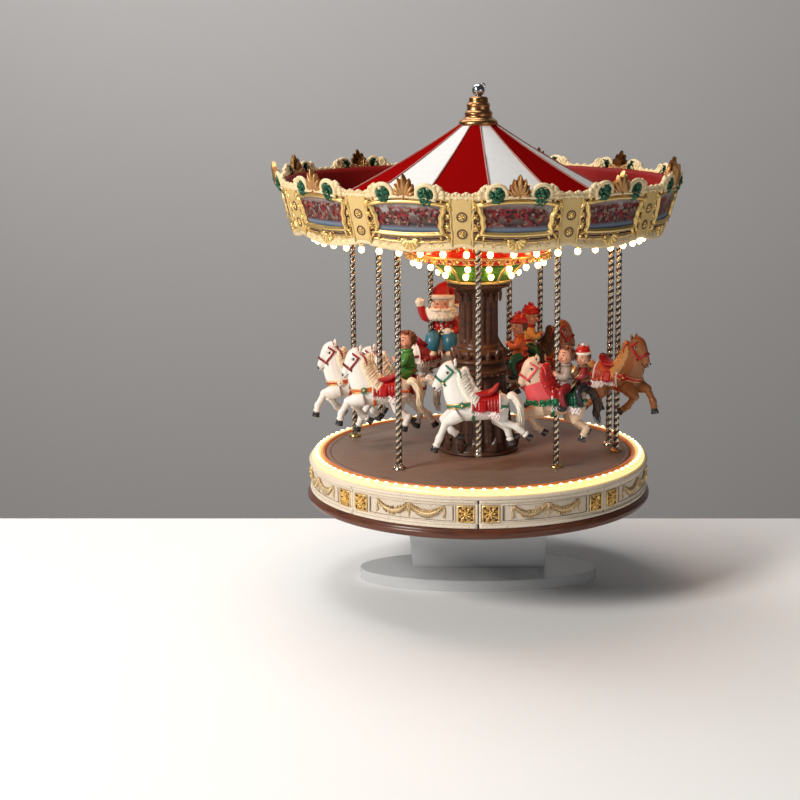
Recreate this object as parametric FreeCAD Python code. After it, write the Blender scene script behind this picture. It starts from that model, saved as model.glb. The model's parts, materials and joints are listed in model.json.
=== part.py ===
"""Lighted winter carousel with a wind-up musical movement, on a clear display stand.

Millimetres. Z is measured from the underside of the carousel's plinth while the pieces are made,
and every piece is raised by STAND_HEIGHT when it is written, so that the stand's foot is at Z = 0.
Stations round the carousel are given as a radius and an angle from the front (-Y), positive towards +X.
"""

import FreeCAD, Part
import math
import os

V = FreeCAD.Vector
UP = V(0, 0, 1)

# Display stand
STAND_HEIGHT = 65.0
FOOT_LENGTH = 175.0
FOOT_WIDTH = 72.0
FOOT_THICK = 8.3
UPRIGHT_TOP = 106.0
UPRIGHT_BOTTOM = 97.0
UPRIGHT_THICK = 8.0
BRACKET_LENGTH = 100.0
BRACKET_WIDTH = 26.0
BRACKET_WALL = 2.0
BRACKET_DEPTH = 12.5

# Base
PLINTH_R = 124.5
PLINTH_H = 7.5
PLINTH_BORE_R = 110.0
PLATE_BOTTOM = 0.5
PLATE_TOP = 2.5
SHELL_OUT_R = 118.5
SHELL_IN_R = 112.0
PANEL_R = 121.5
PANEL_TOP = 27.0
MOULDING_TOP = 29.5
LIP_R = 113.5
LIP_TOP = 33.5
PANEL_COUNT = 8
LED_R = 117.2
LED_COUNT = 96

# Turntable
FLOOR_R = 110.5
FLOOR_BOTTOM = 30.5
FLOOR_TOP = 33.0
POST_R = 4.0
RUNNING_FIT = 0.06
COLUMN_BORE_R = 6.0
DRUM_TOP = 98.0
RINGS_TOP = 110.0
SHAFT_TOP = 151.0
CAPITAL_TOP = 156.0
SHAFT_R = 14.0
FLUTE_COUNT = 16
TIER_SPLIT = 171.0
CEILING_BOTTOM = 196.0
CEILING_TOP = 198.0
CEILING_R = 127.4

# Canopy
CORNICE_COUNT = 12
CORNICE_LOW_R = 130.0
CORNICE_HIGH_R = 139.0
CORNICE_TOP = 229.0
CORNICE_WALL = 2.5
CORNICE_TURN = 10.6
CREST_R = 14.5
ROOF_EDGE = (124.0, 203.0)
ROOF_MIDDLE = (93.0, 219.6)
ROOF_UPPER = (50.0, 243.0)
ROOF_APEX = (12.0, 267.0)
ROOF_WALL = 2.0
FINIAL_TOP = 285.9
BALL_R = 4.5

# Horse poles and the wavy track that lifts them
POLE_R = 2.2
POLE_FIT = 0.08
BUSH_R = 3.0
BUSH_FLANGE_R = 4.1
STROKE = 7.0
ARM_WIDTH = 2.4
ARM_THICK = 3.0
ARM_BOTTOM = 204.0
FINGER_BOTTOM = 212.0
FINGER_IN_R = 41.0
FINGER_OUT_R = 55.0
CAM_IN_R = 40.0
CAM_OUT_R = 48.0
CAM_BOTTOM = 199.0
CAM_LOBES = 3
CAM_CLEARANCE = 0.5

# Musical movement
TRAIN_MODULE = 0.8
HUB_TEETH = 24
BARREL_TEETH = 48
CYLINDER_TEETH = 12
FAST_MODULE = 0.5
WHEEL_TEETH = 60
FAN_TEETH = 10
ARBOR_R = 2.0
BARREL_R = 15.5
GEAR_LEVEL = 9.2
GEAR_THICK = 2.6
BEDPLATE_TOP = 4.0
CYLINDER_R = 6.5
CYLINDER_BOTTOM = 13.0
CYLINDER_TOP = 23.4
CYLINDER_PIN_R = 0.95
FAN_PIN_R = 0.75
COMB_TEETH = 18
SLIP_RING_LEVEL = 24.2

# Battery compartment and switch
BATTERY_CENTRE = (0.0, -62.0)
BATTERY_OPENING = (48.0, 34.0)
BATTERY_WALL = 1.8
BATTERY_TOP = 15.5
CELL_R = 5.25
CELL_LENGTH = 44.5
DOOR_GAP = 0.4
DOOR_HINGE = (-46.4, 1.5)
DOOR_PIN_R = 0.5
DOOR_PIN_REACH = 25.2
SWITCH_X = -88.0
SWITCH_TRAVEL = 4.0

SCREW_HEAD_R = 2.6
SCREW_R = 1.4
SCREW_HEAD_H = 1.4


def station(radius, angle, z=0.0):
    """The point at a radius and an angle in degrees from the front."""
    a = math.radians(angle)
    return V(radius * math.sin(a), -radius * math.cos(a), z)


BARREL = V(0, TRAIN_MODULE * (HUB_TEETH + BARREL_TEETH) / 2, 0)
CYLINDER_AWAY = TRAIN_MODULE * (BARREL_TEETH + CYLINDER_TEETH) / 2
FAN_AWAY = FAST_MODULE * (WHEEL_TEETH + FAN_TEETH) / 2
CYLINDER_ANGLE = 10.0
FAN_ANGLE = 60.0


def polar(origin, away, angle):
    """A point away from an origin, at an angle in degrees from +X."""
    a = math.radians(angle)
    return origin + V(away * math.cos(a), away * math.sin(a), 0)


CYLINDER = polar(BARREL, CYLINDER_AWAY, CYLINDER_ANGLE)
FAN = polar(CYLINDER, FAN_AWAY, FAN_ANGLE)

# Each horse: x, y, height of its body's centre, heading in degrees from +X, attitude, foot of its pole,
# and its riders, each by distance along the horse's back and size
HORSES = [
    (0.0, -75.0, 79.5, 180, "leaping", "tip", []),
    (-70.4, -15.0, 77.5, 180, "rearing", "short", []),
    (-92.7, 37.5, 73.0, 188, "rearing", "through", []),
    (-59.0, 15.0, 73.5, 180, "leaping", "short", [(-9.0, 1.0)]),
    (54.0, -57.0, 79.0, 188, "rearing", "through", [(-9.0, 1.0), (-20.0, 1.0)]),
    (99.6, -8.7, 86.5, -38, "rearing", "through", []),
    (47.0, 76.0, 83.0, -4, "rearing", "short", [(-9.0, 1.0)]),
    (-36.0, 61.0, 90.0, 32, "leaping", "short", [(8.0, 1.3)]),
    (23.0, 52.0, 80.0, 180, "leaping", "short", [(-9.0, 1.0)]),
]
SEAT_HEIGHT = 12.0
SUPPORTS = [(-55.0, -62.0), (95.6, 10.4), (5.0, 98.0)]


def turned(points):
    """A solid of revolution about Z from a closed outline of (radius, z) corners."""
    wire = Part.makePolygon([V(r, 0, z) for r, z in points + points[:1]])
    return Part.Face(wire).revolve(V(0, 0, 0), UP, 360)


def sector(points, middle, width):
    """The part of a turned ring that lies within a width of degrees about a middle angle from the front."""
    wire = Part.makePolygon([V(r, 0, z) for r, z in points + points[:1]])
    solid = Part.Face(wire).revolve(V(0, 0, 0), UP, width)
    return solid.rotated(V(0, 0, 0), UP, middle - width / 2 - 90)


def cylinder(radius, low, high, at=V(0, 0, 0)):
    return Part.makeCylinder(radius, high - low, V(at.x, at.y, low))


def tube(outer, inner, low, high, at=V(0, 0, 0)):
    return cylinder(outer, low, high, at).cut(cylinder(inner, low - 1, high + 1, at))


def block(size_x, size_y, low, high, at=V(0, 0, 0)):
    return Part.makeBox(size_x, size_y, high - low, V(at.x - size_x / 2, at.y - size_y / 2, low))


def joined(shapes):
    """One solid from pieces that meet."""
    whole = shapes[0].fuse(shapes[1:]) if len(shapes) > 1 else shapes[0]
    return whole.removeSplitter()


def group(shapes):
    """Separate solids kept in one node."""
    return Part.makeCompound(shapes)


def gear(teeth, module, low, high, at, bore, turn=0.0):
    """A spur gear with straight-flanked teeth. One tooth points along +X before it is turned."""
    pitch_r = teeth * module / 2
    root, tip = pitch_r - 1.15 * module, pitch_r + 0.75 * module
    step = 360.0 / teeth
    corners = []
    for i in range(teeth):
        for radius, part in ((root, -0.27), (tip, -0.10), (tip, 0.10), (root, 0.27)):
            corners.append(polar(V(0, 0, low), radius, (i + part) * step))
    face = Part.Face(Part.makePolygon(corners + corners[:1]))
    wheel = face.extrude(V(0, 0, high - low)).cut(cylinder(bore, low - 1, high + 1))
    return wheel.rotated(V(0, 0, 0), UP, turn).translated(V(at.x, at.y, 0))


def direction(start, end):
    """The angle in degrees from +X of the line between two axes."""
    return math.degrees(math.atan2(end.y - start.y, end.x - start.x))


def bone(a, b, radius_a, radius_b):
    """A tapered limb with a rounded start."""
    along = b - a
    pieces = [Part.makeSphere(radius_a * 1.02, a)]
    if abs(radius_a - radius_b) < 0.01:
        pieces.append(Part.makeCylinder(radius_a, along.Length, a, along))
    else:
        pieces.append(Part.makeCone(radius_a, radius_b, along.Length, a, along))
    return pieces


def limb(points, radii):
    """A chain of bones through points, closed by a ball at its end."""
    pieces = []
    for i in range(len(points) - 1):
        pieces += bone(V(*points[i]), V(*points[i + 1]), radii[i], radii[i + 1])
    pieces.append(Part.makeSphere(radii[-1] * 1.02, V(*points[-1])))
    return pieces


# Stand ------------------------------------------------------------------------------------------


def stand_foot():
    low = -STAND_HEIGHT
    ratio = FOOT_WIDTH / FOOT_LENGTH
    ellipse = Part.Ellipse(V(0, 0, low), FOOT_LENGTH / 2, FOOT_LENGTH / 2 * ratio)
    foot = Part.Face(Part.Wire(ellipse.toShape())).extrude(V(0, 0, FOOT_THICK))
    return foot.makeChamfer(0.5, foot.Edges)


def upright_screw_places():
    return [V(x, 0, -8.0) for x in (-32.0, 32.0)]


def stand_upright():
    low, high = FOOT_THICK - STAND_HEIGHT, PLATE_BOTTOM - BRACKET_WALL
    half_low, half_high = UPRIGHT_BOTTOM / 2, UPRIGHT_TOP / 2
    corners = [
        V(-half_low, -UPRIGHT_THICK / 2, low),
        V(half_low, -UPRIGHT_THICK / 2, low),
        V(half_high, -UPRIGHT_THICK / 2, high),
        V(-half_high, -UPRIGHT_THICK / 2, high),
    ]
    plate = Part.Face(Part.makePolygon(corners + corners[:1])).extrude(V(0, UPRIGHT_THICK, 0))
    for p in upright_screw_places():
        plate = plate.cut(Part.makeCylinder(SCREW_R, 20, p - V(0, 10, 0), V(0, 1, 0)))
    return plate


def bracket_screw_places():
    return [V(x, y, 0) for x in (-34.0, 34.0) for y in (-10.0, 10.0)]


def upright_bracket():
    top = PLATE_BOTTOM
    web = block(BRACKET_LENGTH, BRACKET_WIDTH, top - BRACKET_WALL, top)
    low = top - BRACKET_WALL - BRACKET_DEPTH
    side_y = UPRIGHT_THICK / 2 + BRACKET_WALL / 2
    sides = [block(BRACKET_LENGTH, BRACKET_WALL, low, top - BRACKET_WALL, V(0, s * side_y, 0)) for s in (-1, 1)]
    bracket = joined([web] + sides)
    for p in bracket_screw_places():
        bracket = bracket.cut(cylinder(SCREW_R, -10, 10, p))
    for p in upright_screw_places():
        bracket = bracket.cut(Part.makeCylinder(SCREW_R, 20, p - V(0, 10, 0), V(0, 1, 0)))
    return bracket.cut(cylinder(SCREW_R * 2, -3, 3))


# Base -------------------------------------------------------------------------------------------


def plate_screw_places():
    return [station(105.0, 60.0 * i + 30.0) for i in range(6)]


def plinth():
    edge = PLINTH_R
    outline = [
        (PLINTH_BORE_R, 0),
        (edge - 2.5, 0),
        (edge - 0.8, 0.8),
        (edge, 2.6),
        (edge, 4.4),
        (edge - 0.9, 6.2),
        (edge - 2.6, PLINTH_H),
        (100.0, PLINTH_H),
        (100.0, PLATE_TOP),
        (PLINTH_BORE_R, PLATE_TOP),
    ]
    ring = turned(outline)
    for p in plate_screw_places():
        ring = ring.cut(cylinder(SCREW_R, -2, 6.5, p))
    return ring


def base_shell():
    return turned(
        [
            (SHELL_IN_R, PLINTH_H),
            (SHELL_OUT_R, PLINTH_H),
            (SHELL_OUT_R, PANEL_TOP),
            (LIP_R, PANEL_TOP),
            (LIP_R, LIP_TOP),
            (SHELL_IN_R, LIP_TOP),
        ]
    )


def base_panels():
    low, high = PLINTH_H, PANEL_TOP
    outline = [
        (SHELL_OUT_R, low),
        (PANEL_R + 0.6, low),
        (PANEL_R + 0.6, low + 2.0),
        (PANEL_R - 0.6, low + 2.6),
        (PANEL_R - 0.6, high - 2.6),
        (PANEL_R + 0.6, high - 2.0),
        (PANEL_R + 0.6, high),
        (SHELL_OUT_R, high),
    ]
    step = 360.0 / PANEL_COUNT
    return group([sector(outline, step * (i + 0.5), step - 0.6) for i in range(PANEL_COUNT)])


def base_ornaments():
    """A pair of gilt squares and a garland on each panel."""
    face = PANEL_R - 0.6
    step = 360.0 / PANEL_COUNT
    square = [(face, 11.5), (face + 1.4, 11.5), (face + 1.4, 23.5), (face, 23.5)]
    garland = [(face, 13.5), (face + 1.2, 13.5), (face + 1.2, 21.0), (face, 21.0)]
    pieces = []
    for i in range(PANEL_COUNT):
        middle = step * (i + 0.5)
        pieces.append(sector(garland, middle, 22.0))
        pieces += [sector(square, middle + side * 17.2, 5.4) for side in (-1, 1)]
    return group(pieces)


def top_moulding():
    return turned(
        [
            (LIP_R, PANEL_TOP),
            (PANEL_R + 0.4, PANEL_TOP),
            (PANEL_R + 1.2, PANEL_TOP + 0.9),
            (PANEL_R + 0.6, MOULDING_TOP),
            (LIP_R, MOULDING_TOP),
        ]
    )


def led_strip():
    low = MOULDING_TOP
    strip = tube(LED_R + 2.4, LED_R - 2.4, low, low + 0.5)
    step = 360.0 / LED_COUNT
    leds = []
    for i in range(LED_COUNT):
        led = block(2.0, 2.0, low + 0.5, low + 1.4, V(0, -LED_R, 0))
        leds.append(led.rotated(V(0, 0, 0), UP, step * i))
    return joined([strip] + leds)


def led_diffuser():
    low = MOULDING_TOP
    outer = [(3.4, 0), (3.4, 1.6), (2.5, 3.2), (1.0, 4.0)]
    inner = [(2.6, 0), (2.6, 1.4), (1.9, 2.5), (0.8, 3.1)]
    outline = [(LED_R + r, low + z) for r, z in outer]
    outline += [(LED_R - r, low + z) for r, z in reversed(outer)]
    outline += [(LED_R - r, low + z) for r, z in inner]
    outline += [(LED_R + r, low + z) for r, z in reversed(inner)]
    return turned(outline)


def bedplate_screw_places():
    return [V(-16, 19, 0), V(54, 19, 0), V(-16, 58, 0), V(52, 58, 0)]


def switch_place():
    return V(SWITCH_X, 0, 0)


def bottom_plate():
    plate = cylinder(PLINTH_BORE_R, PLATE_BOTTOM, PLATE_TOP)
    holes = [cylinder(SCREW_R, -1, 4, p) for p in plate_screw_places() + bracket_screw_places()]
    holes += [cylinder(SCREW_R, -1, 4, p) for p in bedplate_screw_places()]
    holes.append(cylinder(ARBOR_R + 1.0, -1, 4, BARREL))
    centre = V(BATTERY_CENTRE[0], BATTERY_CENTRE[1], 0)
    holes.append(block(BATTERY_OPENING[0], BATTERY_OPENING[1], -1, 4, centre))
    holes.append(hinge_rod(DOOR_PIN_R + 0.1, DOOR_PIN_REACH + 0.3))
    holes.append(block(5.6 + SWITCH_TRAVEL, 4.2, -1, 4, switch_place() + V(SWITCH_TRAVEL / 2, 0, 0)))
    return plate.cut(holes)


def base_screws():
    """Countersunk and pan-head screws of the plinth, the bracket, the movement and the upright."""

    def screw(place, head_top, tip):
        head = cylinder(SCREW_HEAD_R, head_top - SCREW_HEAD_H, head_top, place)
        return joined([head, cylinder(SCREW_R, head_top, tip, place)])

    screws = [screw(p, PLATE_BOTTOM, 6.0) for p in plate_screw_places()]
    screws += [screw(p, PLATE_BOTTOM - BRACKET_WALL, PLATE_TOP + 1.0) for p in bracket_screw_places()]
    screws += [screw(p, PLATE_BOTTOM, BEDPLATE_TOP + 0.8) for p in bedplate_screw_places()]
    reach = UPRIGHT_THICK / 2 + BRACKET_WALL
    for p in upright_screw_places():
        shank = Part.makeCylinder(SCREW_R, 2 * reach, p - V(0, reach, 0), V(0, 1, 0))
        head = Part.makeCylinder(SCREW_HEAD_R, SCREW_HEAD_H, p + V(0, reach, 0), V(0, 1, 0))
        screws.append(joined([shank, head]))
    return group(screws)


def central_post():
    """The fixed post that the turntable runs on, with its flange and thrust collar."""
    flange = cylinder(13.0, PLATE_TOP, 4.0)
    collar = cylinder(8.0, 4.0, 6.0)
    return joined([flange, collar, cylinder(POST_R, 6.0, CAM_BOTTOM + 4.0)])


def wavy_ring(inner, outer, low, trough, peak):
    """A ring whose top rises and falls, with curves through the same angles so that its faces meet."""
    count = 48

    def curve(radius, heights):
        points = []
        for i in range(count):
            a = 2 * math.pi * i / count
            points.append(V(radius * math.cos(a), radius * math.sin(a), heights(a)))
        line = Part.BSplineCurve()
        line.interpolate(points, PeriodicFlag=True)
        return line.toShape()

    def wave(a):
        return (trough + peak) / 2 + (peak - trough) / 2 * math.sin(CAM_LOBES * a)

    def flat(_):
        return low

    in_low, out_low, in_high, out_high = curve(inner, flat), curve(outer, flat), curve(inner, wave), curve(outer, wave)
    pairs = [(in_high, out_high), (out_high, out_low), (out_low, in_low), (in_low, in_high)]
    shell = Part.Shell([Part.makeRuledSurface(a, b) for a, b in pairs])
    solid = Part.Solid(shell)
    if solid.Volume < 0:
        solid.reverse()
    return solid


def canopy_cam():
    """The fixed wavy track above the ceiling. It is set low, so that the fingers clear it in any pose."""
    peak = FINGER_BOTTOM - STROKE / 2 - CAM_CLEARANCE
    ring = wavy_ring(CAM_IN_R, CAM_OUT_R, CAM_BOTTOM, peak - STROKE, peak)
    disc = tube(CAM_IN_R, POST_R, CAM_BOTTOM, CAM_BOTTOM + 1.4)
    hub = tube(9.0, POST_R, CAM_BOTTOM, CAM_BOTTOM + 4.0)
    windows = [cylinder(8.0, 190, 210, station(23.0, 60.0 * i)) for i in range(6)]
    return group([joined([disc, hub]).cut(windows), ring])


def slip_ring():
    """Contact ring for the canopy lights, on three legs."""
    low = SLIP_RING_LEVEL
    ring = tube(34.0, 24.0, low, low + 1.2)
    places = [V(-28, -17, 0), V(28, -17, 0), V(-31, 9, 0)]
    legs = [cylinder(1.5, PLATE_TOP, low, p) for p in places]
    return joined([ring] + legs)


def battery_box():
    centre = V(BATTERY_CENTRE[0], BATTERY_CENTRE[1], 0)
    long, wide = BATTERY_OPENING
    outside = block(long + 2 * BATTERY_WALL, wide + 2 * BATTERY_WALL, PLATE_TOP, BATTERY_TOP, centre)
    return outside.cut(block(long - 0.4, wide - 0.4, PLATE_TOP - 1, BATTERY_TOP - BATTERY_WALL, centre))


def battery_cells():
    cells = []
    for i in (-1, 0, 1):
        y = BATTERY_CENTRE[1] + i * (2 * CELL_R + 0.5)
        start = V(BATTERY_CENTRE[0] - CELL_LENGTH / 2, y, PLATE_TOP + 0.6 + CELL_R)
        body = Part.makeCylinder(CELL_R, CELL_LENGTH - 1.0, start, V(1, 0, 0))
        cells.append(body.fuse(Part.makeCylinder(1.9, 1.0, start + V(CELL_LENGTH - 1.0, 0, 0), V(1, 0, 0))))
    return group(cells)


def hinge_rod(radius, reach):
    """A rod along the battery door's hinge line, reaching as far each way."""
    return Part.makeCylinder(radius, 2 * reach, V(-reach, *DOOR_HINGE), V(1, 0, 0))


def battery_door():
    """A flat door, rounded along its hinge line, with a pin at each end of it."""
    long, wide = BATTERY_OPENING
    half = long / 2 - DOOR_GAP
    front = BATTERY_CENTRE[1] - wide / 2 + DOOR_GAP
    thick = PLATE_TOP - PLATE_BOTTOM
    leaf = Part.makeBox(2 * half, DOOR_HINGE[0] - front, thick, V(-half, front, PLATE_BOTTOM))
    return joined([leaf, hinge_rod(thick / 2, half), hinge_rod(DOOR_PIN_R, DOOR_PIN_REACH)])


def switch_slider():
    knob = block(5.0, 3.6, -1.4, PLATE_TOP + 0.1, switch_place())
    flange = block(10.0, 7.0, PLATE_TOP + 0.1, PLATE_TOP + 1.6, switch_place())
    return joined([knob, flange])


# Musical movement -------------------------------------------------------------------------------


def movement_bedplate():
    plate = block(80.0, 49.0, PLATE_TOP, BEDPLATE_TOP, V(20.0, 38.5, 0))
    boss = cylinder(4.0, BEDPLATE_TOP, GEAR_LEVEL - 0.2, BARREL)
    cylinder_pin = cylinder(CYLINDER_PIN_R, BEDPLATE_TOP, CYLINDER_TOP + 0.5, CYLINDER)
    fan_pin = cylinder(FAN_PIN_R, BEDPLATE_TOP, 19.5, FAN)
    plate = joined([plate, boss, cylinder_pin, fan_pin])
    holes = [cylinder(ARBOR_R + RUNNING_FIT, 0, 12, BARREL)]
    holes += [cylinder(SCREW_R, 0, 6, p) for p in bedplate_screw_places()]
    return plate.cut(holes)


def wind_key():
    """The butterfly key and the arbor that it turns."""
    arbor = cylinder(ARBOR_R, -6.0, 22.9, BARREL)
    shank = cylinder(3.2, -11.0, PLATE_BOTTOM - 0.6, BARREL)
    shank_hole = cylinder(ARBOR_R, -12.0, 0.0, BARREL)
    wing = block(25.0, 2.4, -14.0, -5.0, BARREL)
    wing = wing.makeFillet(2.0, [e for e in wing.Edges if abs(e.tangentAt(0).y) > 0.9])
    return joined([arbor, shank.fuse(shank_hole), wing])


def spring_barrel():
    toothed = gear(BARREL_TEETH, TRAIN_MODULE, GEAR_LEVEL, GEAR_LEVEL + GEAR_THICK, BARREL, ARBOR_R + RUNNING_FIT)
    low = GEAR_LEVEL + GEAR_THICK
    wall = tube(BARREL_R, BARREL_R - 1.4, low, 22.0, BARREL)
    lid = tube(BARREL_R, ARBOR_R + RUNNING_FIT, 22.0, 22.9, BARREL)
    return joined([toothed, wall, lid])


def mainspring():
    """The flat spring as half turns of growing radius, each the next one's start."""
    thick, pitch, turns = 0.5, 1.1, 8
    low, high = GEAR_LEVEL + GEAR_THICK + 0.4, 21.6
    halves = []
    for i in range(2 * turns):
        radius = 4.2 + i * pitch / 2
        side = 1 if i % 2 == 0 else -1
        centre = V(BARREL.x + (0 if side == 1 else -pitch / 2), BARREL.y, low)
        ring = Part.makeCylinder(radius + thick, high - low, centre, UP, 180)
        ring = ring.cut(Part.makeCylinder(radius, high - low, centre, UP, 360))
        if side == -1:
            ring = ring.rotated(centre, UP, 180)
        halves.append(ring)
    return joined(halves)


def music_cylinder():
    bore = CYLINDER_PIN_R + RUNNING_FIT
    wheel = gear(WHEEL_TEETH, FAST_MODULE, 5.0, 7.0, CYLINDER, bore)
    collar = tube(3.0, bore, 7.0, GEAR_LEVEL, CYLINDER)
    mesh = direction(BARREL, CYLINDER)
    step = 360.0 / CYLINDER_TEETH
    turn = mesh + 180.0 + step / 2 - (mesh % (360.0 / BARREL_TEETH)) * -BARREL_TEETH / CYLINDER_TEETH
    pinion = gear(CYLINDER_TEETH, TRAIN_MODULE, GEAR_LEVEL, GEAR_LEVEL + GEAR_THICK, CYLINDER, bore, turn)
    neck = tube(3.0, bore, GEAR_LEVEL + GEAR_THICK, CYLINDER_BOTTOM, CYLINDER)
    drum = tube(CYLINDER_R, bore, CYLINDER_BOTTOM, CYLINDER_TOP, CYLINDER)
    pitch = (CYLINDER_TOP - CYLINDER_BOTTOM) / COMB_TEETH
    pins = []
    for i in range(COMB_TEETH):
        z = CYLINDER_BOTTOM + (i + 0.5) * pitch
        for j in range(2):
            angle = (i * 137.5 + j * 163.0) % 360
            a = math.radians(angle)
            along = V(math.cos(a), math.sin(a), 0)
            start = V(CYLINDER.x, CYLINDER.y, z) + along * (CYLINDER_R - 0.5)
            pins.append(Part.makeCylinder(0.18, 1.0, start, along))
    return joined([wheel, collar, pinion, neck, drum] + pins)


def governor_fan():
    bore = FAN_PIN_R + RUNNING_FIT
    mesh = direction(CYLINDER, FAN)
    step = 360.0 / FAN_TEETH
    turn = mesh + 180.0 + step / 2 - (mesh % (360.0 / WHEEL_TEETH)) * -WHEEL_TEETH / FAN_TEETH
    pinion = gear(FAN_TEETH, FAST_MODULE, 4.6, 7.4, FAN, bore, turn)
    spindle = tube(1.6, bore, 7.4, 19.0, FAN)
    vane = block(11.0, 0.7, 9.0, 18.5, FAN).cut(cylinder(1.2, 8, 20, FAN))
    return joined([pinion, spindle, vane])


def comb():
    """A steel comb on its brass foot, its teeth just clear of the cylinder's pins."""
    tip = CYLINDER.x + CYLINDER_R + 0.9
    heel = tip + 24.0
    low, high = CYLINDER_BOTTOM, CYLINDER_TOP
    pitch = (high - low) / COMB_TEETH
    y = CYLINDER.y
    plate = Part.makeBox(12.0, 1.0, high - low, V(heel - 12.0, y - 0.5, low))
    teeth = []
    for i in range(COMB_TEETH):
        z = low + (i + 0.18) * pitch
        teeth.append(Part.makeBox(heel - 12.0 - tip, 0.5, pitch * 0.64, V(tip, y - 0.25, z)))
    foot = Part.makeBox(8.0, 4.0, high - BEDPLATE_TOP, V(heel - 8.0, y + 0.5, BEDPLATE_TOP))
    return group([joined([plate] + teeth), foot])


# Turntable --------------------------------------------------------------------------------------


def pole_places():
    return [V(x, y, 0) for x, y, *_ in HORSES]


def through_places():
    return [V(h[0], h[1], 0) for h in HORSES if h[5] == "through"]


def floor_disc():
    disc = cylinder(FLOOR_R, FLOOR_BOTTOM, FLOOR_TOP)
    holes = [cylinder(BUSH_R, 0, 50, p) for p in through_places()]
    return disc.cut(holes + [cylinder(COLUMN_BORE_R, 0, 50)])


def turntable_hub():
    """The sleeve that runs on the post, with the drive gear and the flange under the floor."""
    bore = POST_R + RUNNING_FIT
    sleeve = tube(7.0, bore, 6.1, FLOOR_BOTTOM)
    flange = tube(20.0, bore, FLOOR_BOTTOM - 3.0, FLOOR_BOTTOM)
    half_step = 180.0 / HUB_TEETH
    mesh = direction(V(0, 0, 0), BARREL)
    turn = mesh + half_step - (mesh % (360.0 / BARREL_TEETH)) * BARREL_TEETH / HUB_TEETH
    drive = gear(HUB_TEETH, TRAIN_MODULE, GEAR_LEVEL, GEAR_LEVEL + GEAR_THICK, V(0, 0, 0), 6.0, turn)
    return joined([sleeve, flange, drive])


def contact_brushes():
    pieces = []
    for radius, angle in ((26.5, 180.0), (31.5, 180.0)):
        p = station(radius, angle)
        pieces.append(block(3.0, 2.0, SLIP_RING_LEVEL + 1.25, FLOOR_BOTTOM, p))
    return group(pieces)


def column_drum():
    bore = COLUMN_BORE_R
    return turned(
        [
            (bore, FLOOR_TOP),
            (28.5, FLOOR_TOP),
            (28.5, 36.0),
            (26.5, 38.0),
            (25.0, 48.0),
            (22.0, 72.0),
            (20.0, 88.0),
            (21.5, 91.0),
            (21.5, 94.0),
            (18.0, DRUM_TOP),
            (bore, DRUM_TOP),
        ]
    )


def column_shaft():
    bore = COLUMN_BORE_R
    body = turned(
        [
            (bore, DRUM_TOP),
            (19.5, DRUM_TOP),
            (19.5, 101.0),
            (17.0, 103.0),
            (18.5, 105.5),
            (16.5, RINGS_TOP),
            (SHAFT_R, RINGS_TOP + 2.0),
            (SHAFT_R, SHAFT_TOP - 3.0),
            (17.0, SHAFT_TOP),
            (21.5, SHAFT_TOP + 2.5),
            (21.5, CAPITAL_TOP),
            (bore, CAPITAL_TOP),
        ]
    )
    flutes = []
    for i in range(FLUTE_COUNT):
        at = station(SHAFT_R + 0.5, 360.0 / FLUTE_COUNT * i)
        flutes.append(cylinder(1.6, RINGS_TOP + 5.0, SHAFT_TOP - 5.0, at))
    return body.cut(flutes)


def lower_tier():
    bore = COLUMN_BORE_R
    low, high = CAPITAL_TOP, TIER_SPLIT
    return turned([(bore, low), (21.5, low), (22.5, low + 3), (26.0, low + 8), (31.0, low + 12), (31.0, high), (bore, high)])


def upper_tier():
    """The bowl-shaped ring of lights under the ceiling."""
    low, high = TIER_SPLIT, CEILING_BOTTOM
    outside = [(30.0, low), (40.0, low), (49.5, 174.0), (51.5, 176.5), (49.5, 179.0), (44.0, 181.0), (44.0, 192.5), (50.0, high)]
    inside = [(46.0, high), (41.5, 192.5), (41.5, 179.0), (38.0, low + 2.5), (COLUMN_BORE_R, low + 2.5), (COLUMN_BORE_R, low)]
    return turned(outside + inside)


def bulb_rings():
    """Count, radius and height of each ring of bulbs."""
    return [(20, 46.6, 170.6), (16, 45.95, 187.0), (10, 28.0, 162.4), (36, 112.0, CEILING_BOTTOM - 2.0)]


def canopy_bulbs():
    bulbs = []
    for count, radius, z in bulb_rings():
        bulbs += [Part.makeSphere(1.85, station(radius, 360.0 / count * (i + 0.5), z)) for i in range(count)]
    return group(bulbs)


def canopy_ceiling():
    disc = cylinder(CEILING_R, CEILING_BOTTOM, CEILING_TOP)
    rim = tube(ROOF_EDGE[0], ROOF_EDGE[0] - 3.0, CEILING_TOP, ROOF_EDGE[1] - ROOF_WALL)
    holes = [cylinder(BUSH_R, 190, 200, p) for p in pole_places()]
    return joined([disc, rim]).cut(holes + [cylinder(POST_R + RUNNING_FIT, 190, 200)])


def cornice_outline(inset, proud):
    """The flared band's section, between an inset and a proud offset from its outer face."""
    low, high = CORNICE_LOW_R, CORNICE_HIGH_R
    bottom, top = CEILING_BOTTOM, CORNICE_TOP
    return [(low - inset, bottom), (low + proud, bottom), (high + proud, top), (high - inset, top)]


def cornice_panels():
    step = 360.0 / CORNICE_COUNT
    band = cornice_outline(CORNICE_WALL, 0.0)
    return group([sector(band, CORNICE_TURN + step * i, step - 0.3) for i in range(CORNICE_COUNT)])


def cornice_gilding():
    """Twelve straps over the panels' joints and twelve fan-shaped crests on the panels."""
    step = 360.0 / CORNICE_COUNT
    strap = cornice_outline(0.0, 1.6)
    pieces = []
    for i in range(CORNICE_COUNT):
        pieces.append(sector(strap, CORNICE_TURN + step * (i + 0.5), 6.2))
        middle = CORNICE_TURN + step * i
        outward = station(1.0, middle)
        foot = station(CORNICE_HIGH_R - 2.2, middle, CORNICE_TOP)
        disc = Part.makeCylinder(CREST_R, 2.6, foot, outward)
        upper = Part.makeBox(400, 400, 40, V(-200, -200, CORNICE_TOP))
        pieces.append(disc.common(upper))
    return group(pieces)


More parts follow.
